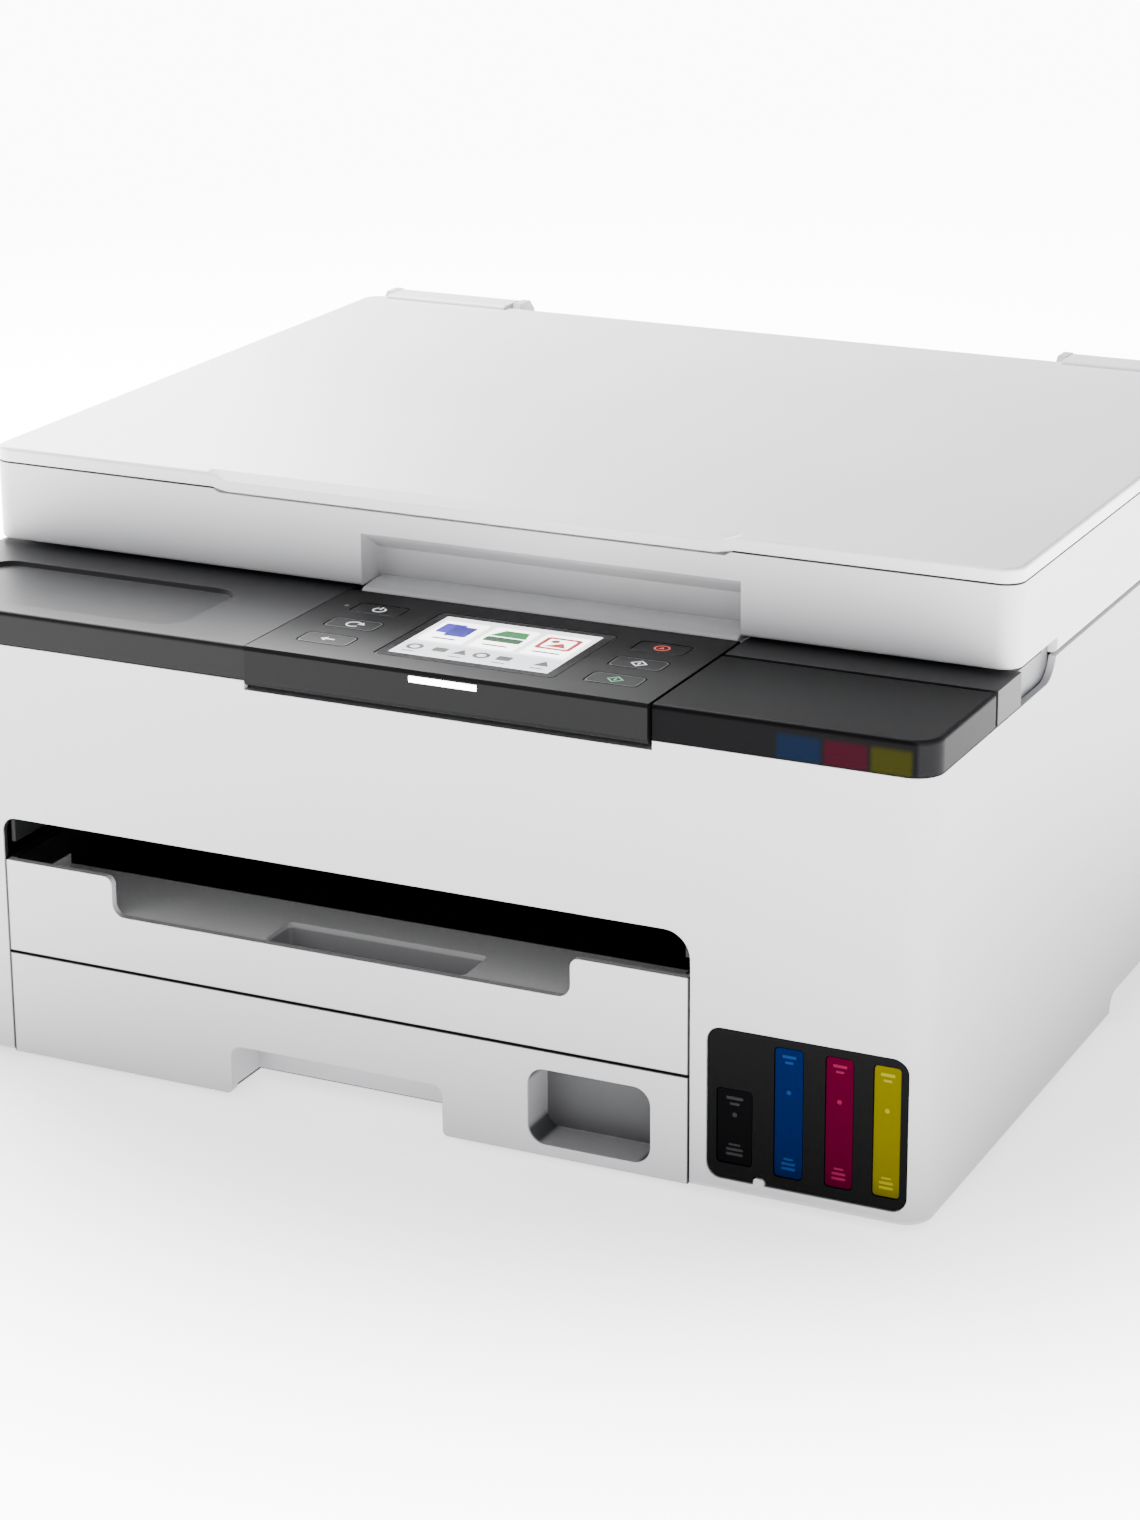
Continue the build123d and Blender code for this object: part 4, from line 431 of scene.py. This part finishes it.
def shape(name, outlines, mat, body, z0, z1, plane="XY", bevel=0.0):
    bm = bmesh.new()
    for o in outlines:
        if isinstance(o, tuple) and len(o) == 2 and isinstance(o[0], list):
            slab(bm, o[0], z0, z1, plane, hole=o[1])
        else:
            slab(bm, o, z0, z1, plane)
    return add_mesh(name, bm, mat, body, bevel)


def tube_path(name, pts, r, mat, n=10):
    """Round tube along a list of points (mm), no body yet."""
    bm = bmesh.new()
    P = [Vector(q) for q in pts]
    rings = []
    up = Vector((0, 0, 1))
    last = None
    for i, q in enumerate(P):
        t = (P[min(i + 1, len(P) - 1)] - P[max(i - 1, 0)]).normalized()
        if last is None:
            ref = up if abs(t.dot(up)) < 0.9 else Vector((0, 1, 0))
            u = t.cross(ref).normalized()
        else:
            u = (last - t * last.dot(t)).normalized()
        last = u
        v = t.cross(u)
        rings.append([bm.verts.new(q + (u * math.cos(2 * math.pi * k / n) + v * math.sin(2 * math.pi * k / n)) * r) for k in range(n)])
    for a, b in zip(rings, rings[1:]):
        for k in range(n):
            bm.faces.new((a[k], a[(k + 1) % n], b[(k + 1) % n], b[k]))
    bm.faces.new(rings[0])
    bm.faces.new(rings[-1][::-1])
    return add_mesh(name, bm, mat, None, 0, True)


# ---------------------------------------------------------------- touch screen picture
ZP = 159.4
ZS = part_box("touch_screen")[1][2] * 1000.0 + 0.02
KZ = {k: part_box(k)[1][2] * 1000.0 for k in ("power_key", "home_key", "back_key", "stop_key", "mono_start_key", "colour_start_key")}
lcd_white = glow("lcd_white", (238, 240, 244), 1.5)
lcd_card = glow("lcd_card", (255, 255, 255), 3.6)
lcd_grey = glow("lcd_grey", (214, 217, 222), 1.0)
lcd_blue = glow("lcd_blue", (12, 0, 150), 0.04)
lcd_blue2 = glow("lcd_blue_light", (60, 42, 186), 0.08)
lcd_green = glow("lcd_green", (0, 74, 28), 0.05)
lcd_green2 = glow("lcd_green_light", (16, 124, 58), 0.14)
lcd_orange = glow("lcd_orange", (190, 30, 0), 0.04)
lcd_dark = glow("lcd_dark", (24, 25, 30), 0.1)

LX, LY, LW, LH = 27.1, -153.9, 55.6, 41.0
shape("lcd_field", [rr(LX, LY, LW, LH, 0.4)], lcd_white, "panel", ZS, ZS + 0.02)
cards = [rr(LX + dx, LY + 5.6, 15.8, 22.0, 1.2) for dx in (-18.0, 0, 18.0)]
shape("lcd_cards", cards, lcd_card, "panel", ZS + 0.01, ZS + 0.04)
# copy icon: two overlapping sheets
shape("lcd_icon_copy_back", [rr(LX - 20.6, LY + 9.0, 7.6, 9.6, 0.9)], lcd_blue2, "panel", ZS + 0.02, ZS + 0.055)
shape("lcd_icon_copy", [rr(LX - 16.4, LY + 7.0, 7.8, 10.4, 0.9)], lcd_blue, "panel", ZS + 0.02, ZS + 0.07)
# scan icon: a tray with a raised lid
shape("lcd_icon_scan", [rr(LX, LY + 4.6, 13.0, 4.6, 0.9)], lcd_green, "panel", ZS + 0.02, ZS + 0.07)
shape("lcd_icon_scan_lid", [[(LX - 6.4, LY + 7.8), (LX + 6.4, LY + 7.8), (LX + 5.0, LY + 14.0), (LX - 3.4, LY + 14.0)]], lcd_green2, "panel", ZS + 0.02, ZS + 0.07)
# picture icon: a frame with two shapes
shape("lcd_icon_picture", [(rr(LX + 18, LY + 8.0, 12.4, 12.0, 1.4), rr(LX + 18, LY + 8.0, 9.4, 9.0, 0.9)), circ(LX + 16.0, LY + 10.0, 1.5, 14), [(LX + 14.2, LY + 4.6), (LX + 21.8, LY + 4.6), (LX + 19.2, LY + 9.2)]], lcd_orange, "panel", ZS + 0.02, ZS + 0.07)
# caption bars and the bottom row
shape("lcd_captions", [rr(LX - 18, LY - 1.6, 8.4, 1.1, 0.4), rr(LX, LY - 1.6, 8.8, 1.1, 0.4), rr(LX + 18, LY - 1.6, 9.6, 1.1, 0.4)], lcd_dark, "panel", ZS + 0.02, ZS + 0.07)
shape("lcd_bottom_bar", [rr(LX, LY - 13.6, 54.8, 12.6, 0.6)], lcd_grey, "panel", ZS + 0.01, ZS + 0.04)
row = []
for i, x in enumerate((-22.5, -13.5, -6.2, 1.0, 9.0, 22.5)):
    if i % 3 == 0:
        row.append((circ(LX + x, LY - 12.6, 2.9, 18), circ(LX + x, LY - 12.6, 1.6, 18)))
    elif i % 3 == 1:
        row.append(rr(LX + x, LY - 12.6, 5.0, 4.0, 0.7))
    else:
        row.append([(LX + x - 2.6, LY - 14.6), (LX + x + 2.6, LY - 14.6), (LX + x, LY - 9.8)])
shape("lcd_row_icons", row, lcd_dark, "panel", ZS + 0.02, ZS + 0.07)
shape("lcd_row_ticks", [rr(LX + x, LY - 17.4, 4.6, 0.7, 0.3) for x in (-22.5, -6.2, 9.0, 22.5)], lcd_dark, "panel", ZS + 0.02, ZS + 0.07)

# ---------------------------------------------------------------- key marks
mark = glow("mark_white", (214, 216, 220), 0.2)
mark_dim = glow("mark_dim", (78, 79, 82), 0.0)
mark_red = glow("mark_red", (205, 70, 58), 0.35)
mark_green = glow("mark_green", (40, 150, 96), 0.3)
K1, K2 = -24.5, 76.5
KY = (-136.0, -153.5, -171.0)


def keymark(name, body, outs, mat):
    shape(name, outs, mat, body, KZ[body] - 0.04, KZ[body] + 0.05)


def outline(cx, cy, w=17.4, h=9.4):
    return (rr(cx, cy, w, h, 1.9), rr(cx, cy, w - 0.5, h - 0.5, 1.7))


keymark("power_glyph", "power_key", [arc_band(K1, KY[0] - 0.2, 2.1, 0.62, 118, 422, 26), rr(K1, KY[0] + 1.5, 0.62, 2.8, 0.25)], mark)
keymark("home_glyph", "home_key", [arc_band(K1, KY[1], 2.4, 0.6, 20, 320, 22), [(K1 + 1.2, KY[1] + 0.2), (K1 + 3.8, KY[1] + 0.2), (K1 + 2.5, KY[1] + 2.4)]], mark)
keymark("home_frame", "home_key", [outline(K1, KY[1])], mark_dim)
keymark("back_glyph", "back_key", [[(K1 - 2.4, KY[2]), (K1 - 0.4, KY[2] + 1.8), (K1 - 0.4, KY[2] + 0.4), (K1 + 2.6, KY[2] + 0.4), (K1 + 2.6, KY[2] - 0.4), (K1 - 0.4, KY[2] - 0.4), (K1 - 0.4, KY[2] - 1.8)]], mark)
keymark("back_frame", "back_key", [outline(K1, KY[2])], mark_dim)
keymark("stop_glyph", "stop_key", [(circ(K2, KY[0], 2.7, 26), circ(K2, KY[0], 2.1, 26)), [(K2 - 1.1, KY[0] - 0.8), (K2 + 1.1, KY[0] - 0.8), (K2, KY[0] + 1.2)]], mark_red)
keymark("mono_glyph", "mono_start_key", [([(K2, KY[1] - 2.9), (K2 + 2.9, KY[1]), (K2, KY[1] + 2.9), (K2 - 2.9, KY[1])], [(K2, KY[1] - 2.2), (K2 + 2.2, KY[1]), (K2, KY[1] + 2.2), (K2 - 2.2, KY[1])]), rr(K2, KY[1], 0.6, 2.2, 0.2)], mark)
keymark("mono_frame", "mono_start_key", [outline(K2, KY[1])], mark_dim)
keymark("colour_glyph", "colour_start_key", [([(K2, KY[2] - 2.9), (K2 + 2.9, KY[2]), (K2, KY[2] + 2.9), (K2 - 2.9, KY[2])], [(K2, KY[2] - 2.2), (K2 + 2.2, KY[2]), (K2, KY[2] + 2.2), (K2 - 2.2, KY[2])]), rr(K2, KY[2], 0.6, 2.2, 0.2)], mark_green)
keymark("colour_frame", "colour_start_key", [outline(K2, KY[2])], mark_dim)
# small lamp beside the power key
shape("power_lamp", [circ(K1 - 12.2, KY[0], 0.8, 16)], mark_dim, "panel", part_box("control_panel")[1][2] * 1000.0 - 0.05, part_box("control_panel")[1][2] * 1000.0 + 0.05)

# ---------------------------------------------------------------- ink columns: moulded level marks
emb = glow("level_mark", (150, 156, 166), 0.05)
cols = {"black": (124.35, 13.0, 38.0), "cyan": (142.3, 11.6, 55.0), "magenta": (158.9, 11.6, 55.0), "yellow": (174.4, 11.6, 55.0)}
tone = {"black": (34, 35, 37), "cyan": (6, 40, 84), "magenta": (98, 12, 46), "yellow": (118, 112, 8)}
for k, (cx, z0, z1) in cols.items():
    mm_ = plastic("level_" + k, tone[k], 0.4, grain=0.0, spec=0.02, bevel=0)
    w = 4.6 if k != "black" else 5.6
    hh = z1 - z0
    outs = [rr(cx, z1 - 3.0, w, 1.0, 0.3), rr(cx, z1 - 4.9, w * 0.6, 0.8, 0.3), circ(cx, z0 + hh * 0.66, 0.8, 14),
            rr(cx, z0 + 6.4, w * 0.7, 0.7, 0.3), rr(cx, z0 + 4.8, w, 0.9, 0.3), rr(cx, z0 + 3.2, w, 0.9, 0.3)]
    shape("level_marks_" + k, outs, mm_, "chassis", -187.26, -187.1, "XZ")

# ---------------------------------------------------------------- ink tubes: carriage to tanks, with fixed bends
def arc_pts(c, r, a0, a1, ax, ay, n=8):
    return [Vector(c) + (Vector(ax) * math.cos(math.radians(a0 + (a1 - a0) * i / n)) + Vector(ay) * math.sin(math.radians(a0 + (a1 - a0) * i / n))) * r for i in range(n + 1)]


CX = 137.0
tubes = [(40, 0, 176, "a"), (36, 4, 160, "b"), (32, 8, 144, "c"), (28, 12, 126, "d")]
first = None
for y, xl, xt, tag in tubes:
    r = 12.0
    zt = 143.5
    rear = [Vector((CX, y, 126)), Vector((CX, y, zt - r))]
    rear += arc_pts((CX - r, y, zt - r), r, 0, 90, (1, 0, 0), (0, 0, 1))
    xs = CX - r
    steps = 24
    for i in range(1, steps):
        rear.append(Vector((xs + (xl + r - xs) * i / steps, y, zt)))
    rb = min(r, y)
    rear += arc_pts((xl + r, y - r, zt), r, 90, 180, (1, 0, 0), (0, 1, 0))
    rear.append(Vector((xl, 0, zt)))
    a = tube_path("ink_tube_rear_" + tag, rear, 1.5, tubem)
    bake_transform(a)
    fr = [Vector((xl, 0, zt)), Vector((xl, -(y - r), zt))]
    fr += arc_pts((xl + r, -(y - r), zt), r, 180, 270, (1, 0, 0), (0, 1, 0))[1:]
    for i in range(1, steps + 1):
        fr.append(Vector((xl + r + (xt - r - xl - r) * i / steps, -y, zt)))
    b = tube_path("ink_tube_front_" + tag, fr, 1.5, tubem)
    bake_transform(b)
    dn = arc_pts((xt - r, -y, zt - r), r, 90, 0, (1, 0, 0), (0, 0, 1))
    for i in range(1, 8):
        dn.append(Vector((xt, -y, (zt - r) + (20 + r - zt + r) * i / 7)))
    dn += arc_pts((xt, -y - r, 20 + r), r, 0, -90, (0, 1, 0), (0, 0, 1))
    dn.append(Vector((xt, -74, 20)))
    c = tube_path("ink_tube_drop_" + tag, dn, 1.5, tubem)
    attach(c, "chassis")
    if first is None:
        first = a
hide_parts("ink_tubes")

# ---------------------------------------------------------------- fittings on the mechanism
def screw(name, cx, cy, h, plane, body, r=2.6, sign=1):
    """Pan-head cross screw: domed head with a recess, standing along the plane normal."""
    bm = bmesh.new()
    f = FR[plane]
    prof = [(r, 0), (r, 0.7), (r * 0.85, 1.2), (r * 0.5, 1.5)]
    n = 20
    rings = [[bm.verts.new(f(cx + q * math.cos(2 * math.pi * i / n), cy + q * math.sin(2 * math.pi * i / n), h + sign * z)) for i in range(n)] for q, z in prof]
    for a_, b_ in zip(rings, rings[1:]):
        for i in range(n):
            bm.faces.new((a_[i], a_[(i + 1) % n], b_[(i + 1) % n], b_[i]))
    bm.faces.new(rings[0])
    bm.faces.new(rings[-1])
    t = 1.5
    for ang in (0, 90):
        c, s = math.cos(math.radians(ang)), math.sin(math.radians(ang))
        q = [(-1.5, -0.25), (1.5, -0.25), (1.5, 0.25), (-1.5, 0.25)]
        slab(bm, [(cx + u * c - v * s, cy + u * s + v * c) for u, v in q], h + sign * 1.44, h + sign * 1.53, plane)
    return add_mesh(name, bm, steel, body, 0, False)


# screws on the base and steel beam
for i, (x, y) in enumerate(((-170, -120), (170, -120), (-170, 110), (170, 110), (-60, 165), (60, 165))):
    screw("base_screw_%d" % i, x, y, 3.4, "XY", "chassis", sign=-1)
for i, x in enumerate((-130, -40, 50, 120)):
    screw("beam_screw_%d" % i, x, 103, 150.0, "XY", "chassis")

# star wheels above the output rollers on a wire axle
bm = bmesh.new()
slab(bm, circ(-1.0, 92.2, 0.8, 12), -125, 95, "YZ")
for x in (-108, -64, -16, 32, 78):
    for dx in (-4, 4):
        pts = []
        for i in range(24):
            rad = 5.2 if i % 2 == 0 else 4.2
            pts.append((-1.0 + rad * math.cos(2 * math.pi * i / 24), 92.2 + rad * math.sin(2 * math.pi * i / 24)))
        slab(bm, pts, x + dx, x + dx + 0.6, "YZ")
add_mesh("star_wheels", bm, steel, "chassis")

# board components
bm = bmesh.new()
for y, z, w, h, d in ((40, 118, 14, 10, 4), (60, 118, 6, 12, 5), (74, 84, 16, 16, 1.6), (96, 120, 20, 6, 5), (44, 90, 8, 8, 1.4), (-34, 84, 12, 8, 4)):
    slab(bm, rr(y, z, w, h, 0.6, 3), -182.3, -182.3 + d, "YZ")
for y, z in ((-2, 88), (4, 88), (100, 104), (108, 104), (-36, 124)):
    slab(bm, circ(y, z, 2.4, 16), -182.3, -175.5, "YZ")
add_mesh("board_components", bm, chipm, "chassis", 0.25)
# flat cable from the board towards the panel
bm = bmesh.new()
path = [(-174, 125), (-174, 139.5), (-60, 139.5), (10, 139.5)]
for (x0_, z0_), (x1_, z1_) in zip(path, path[1:]):
    if abs(x1_ - x0_) < 1:
        slab(bm, [(x0_ - 0.15, z0_), (x0_ + 0.15, z0_), (x1_ + 0.15, z1_), (x1_ - 0.15, z1_)], -27, -19, "XZ")
    else:
        slab(bm, [(x0_, z0_ - 0.15), (x1_, z1_ - 0.15), (x1_, z1_ + 0.15), (x0_, z0_ + 0.15)], -27, -19, "XZ")
add_mesh("panel_flat_cable", bm, grey_trim, "chassis", 0.05)

# carriage: latch frame and ribs on its cover
bm = bmesh.new()
slab(bm, rr(CX, 26.2, 40, 5.0, 1.2), 137.4, 138.0, "XY")
for i in range(5):
    slab(bm, rr(CX - 24 + 12 * i, 86, 7, 2.6, 0.8), 137.6, 138.0, "XY")
add_mesh("carriage_ribs", bm, dgrey_pl, "carriage", 0.15)
bm = bmesh.new()
for i, x in enumerate((113.5, 129.2, 144.9, 160.6)):
    slab(bm, rr(x, 48, 13.4, 38, 1.6), 104.4, 120.0, "XY")
add_mesh("damper_chambers", bm, dgrey_pl, "carriage", 0.5)
# scan bar: lamp strip and lens window
shape("scan_lamp", [rr(-160.6, 46, 2.4, 212, 0.8)], glow("lamp_tube", (235, 240, 245), 0.15), "scan_bar", 176.4, 180.2, bevel=0.3)
shape("scan_lens", [rr(-156.0, 46, 2.6, 212, 0.8)], strip_m, "scan_bar", 176.4, 179.0, bevel=0.3)
# ribbed black sheet laid on the tray floor behind the front strip, over the painted shade there
bm = bmesh.new()


def tz(y):
    return 58.6 + (y + 185.4) * 4.4 / 166.4


y0_, y1_ = -153.0, -23.0
slab(bm, [(y0_, tz(y0_) + 0.02), (y1_, tz(y1_) + 0.02), (y1_, tz(y1_) + 0.35), (y0_, tz(y0_) + 0.35)], -136.6, 105.4, "YZ")
for i in range(17):
    x = -128 + 14 * i
    slab(bm, [(y0_ + 3, tz(y0_ + 3) + 0.3), (y1_ - 3, tz(y1_ - 3) + 0.3), (y1_ - 3, tz(y1_ - 3) + 0.9), (y0_ + 4.5, tz(y0_ + 4.5) + 0.9)], x - 0.5, x + 0.5, "YZ")
add_mesh("tray_black_ribbed_sheet", bm, black_in, "output_tray", 0.1)
# sill that closes the finger recess down to the panel
bm = bmesh.new()
slab(bm, [(-102.9, 160.9), (-110.0, 160.7), (-116.2, 160.0), (-117.5, 159.2), (-117.5, 158.2), (-102.9, 157.4)], -41.4, 94.3, "YZ")
add_mesh("recess_sill", bm, white_in, "scanner", 0.4, seg=3)
# maintenance cap lip and absorber
shape("cap_lip", [(rr(CX, 48, 37.0, 31.0, 2.5), rr(CX, 48, 34.4, 28.4, 2.0))], rubber, "chassis", 84.4, 85.2, bevel=0.2)
shape("cartridge_absorber", [rr(146, 116, 43, 41, 2.6)], foam, "maintenance_cartridge", 21.2, 36.5, bevel=0.8)
# reference mark moulded beside the glass: corner arrow
outs = [[(-149.5, -56.0), (-144.0, -60.6), (-150.5, -61.4)]]
shape("glass_corner_mark", [[(-156.5, -63.5), (-152.4, -66.6), (-152.4, -62.8)]], dgrey_pl, "scanner", 187.55, 187.62)
# motor end details
bm = bmesh.new()
slab(bm, circ(-166, 118, 11.0, 32), 128.0, 129.6, "XZ", hole=circ(-166, 118, 6.0, 32))
for a in (60, 180, 300):
    slab(bm, circ(-166 + 8.6 * math.cos(math.radians(a)), 118 + 8.6 * math.sin(math.radians(a)), 1.2, 14), 129.4, 130.2, "XZ")
add_mesh("carriage_motor_cap", bm, dgrey_pl, "chassis", 0.2)
# contact pins of the network socket
bm = bmesh.new()
for i in range(8):
    slab(bm, rr(-174.6 - 4.2 + 1.2 * i, 111.4, 0.5, 2.0, 0.15, 2), 168.5, 176.0, "XZ")
add_mesh("network_pins", bm, copper, "chassis")

# ---------------------------------------------------------------- floor, light, camera
bm = bmesh.new()
S_ = 9000
v = [bm.verts.new((x, y, 0)) for x, y in ((-S_, -S_), (S_, -S_), (S_, S_), (-S_, S_))]
bm.faces.new(v)
me = bpy.data.meshes.new("floor")
bm.to_mesh(me)
bm.free()
me.transform(Matrix.Scale(MM, 4))
floor_m, fnt, fp = principled("floor_white")
fp.inputs["Base Color"].default_value = (0.93, 0.93, 0.93, 1)
fp.inputs["Roughness"].default_value = 0.9
fp.inputs["Specular IOR Level"].default_value = 0.1
fp.inputs["Emission Color"].default_value = (1, 1, 1, 1)
ftc = fnt.nodes.new("ShaderNodeTexCoord")
fln = fnt.nodes.new("ShaderNodeVectorMath")
fln.operation = "LENGTH"
fnt.links.new(ftc.outputs["Object"], fln.inputs[0])
# painted shadow: the floor's emission is low within about 0.22 m of the origin and rises to 11 by 0.52 m, a soft
# contact shadow around the object; the bright floor further out also lights the object
fmr = fnt.nodes.new("ShaderNodeMapRange")
fmr.interpolation_type = "SMOOTHSTEP"
fmr.inputs["From Min"].default_value = 0.22
fmr.inputs["From Max"].default_value = 0.52
fmr.inputs["To Min"].default_value = 1.7
fmr.inputs["To Max"].default_value = 11.0
fnt.links.new(fln.outputs["Value"], fmr.inputs["Value"])
fnt.links.new(fmr.outputs["Result"], fp.inputs["Emission Strength"])
me.materials.append(floor_m)
floor = bpy.data.objects.new("floor", me)
bpy.context.scene.collection.objects.link(floor)

world = bpy.data.worlds.new("studio")
bpy.context.scene.world = world
world.use_nodes = True
bg = world.node_tree.nodes["Background"]
bg.inputs[0].default_value = (1.0, 1.0, 1.0, 1)
bg.inputs[1].default_value = 0.62


def area(name, loc, target, size, energy, size_y=None):
    ld = bpy.data.lights.new(name, "AREA")
    ld.energy = energy
    ld.shape = "RECTANGLE"
    ld.size = size
    ld.size_y = size_y or size
    o = bpy.data.objects.new(name, ld)
    o.location = loc
    o.rotation_mode = "QUATERNION"
    o.rotation_quaternion = (Vector(target) - Vector(loc)).to_track_quat("-Z", "Y")
    bpy.context.scene.collection.objects.link(o)
    return o


area("key_left", (-0.68, 0.36, 0.74), (-0.12, 0.02, 0.15), 0.9, 56)
area("front_fill", (-1.3, -2.2, 0.9), (0, 0, 0.1), 1.0, 2.5)

yaw, pitch, roll = math.radians(25.33962), math.radians(17.26212), math.radians(-0.22929)
back = Vector((math.sin(yaw) * math.cos(pitch), -math.cos(yaw) * math.cos(pitch), math.sin(pitch)))
right = Vector((math.cos(yaw), math.sin(yaw), 0))
up = back.cross(right)
r2 = math.cos(roll) * right + math.sin(roll) * up
u2 = -math.sin(roll) * right + math.cos(roll) * up
cd = bpy.data.cameras.new("cam")
cam = bpy.data.objects.new("cam", cd)
bpy.context.scene.collection.objects.link(cam)
cam.matrix_world = Matrix(((r2.x, u2.x, back.x, 0.5409), (r2.y, u2.y, back.y, -1.1670), (r2.z, u2.z, back.z, 0.5131), (0, 0, 0, 1)))
cd.sensor_width = 36
cd.sensor_fit = "AUTO"
cd.lens = 89.07
cd.shift_x = -0.01567
cd.shift_y = -0.07803
cd.dof.use_dof = False
cd.clip_start, cd.clip_end = 0.05, 100
bpy.context.scene.camera = cam
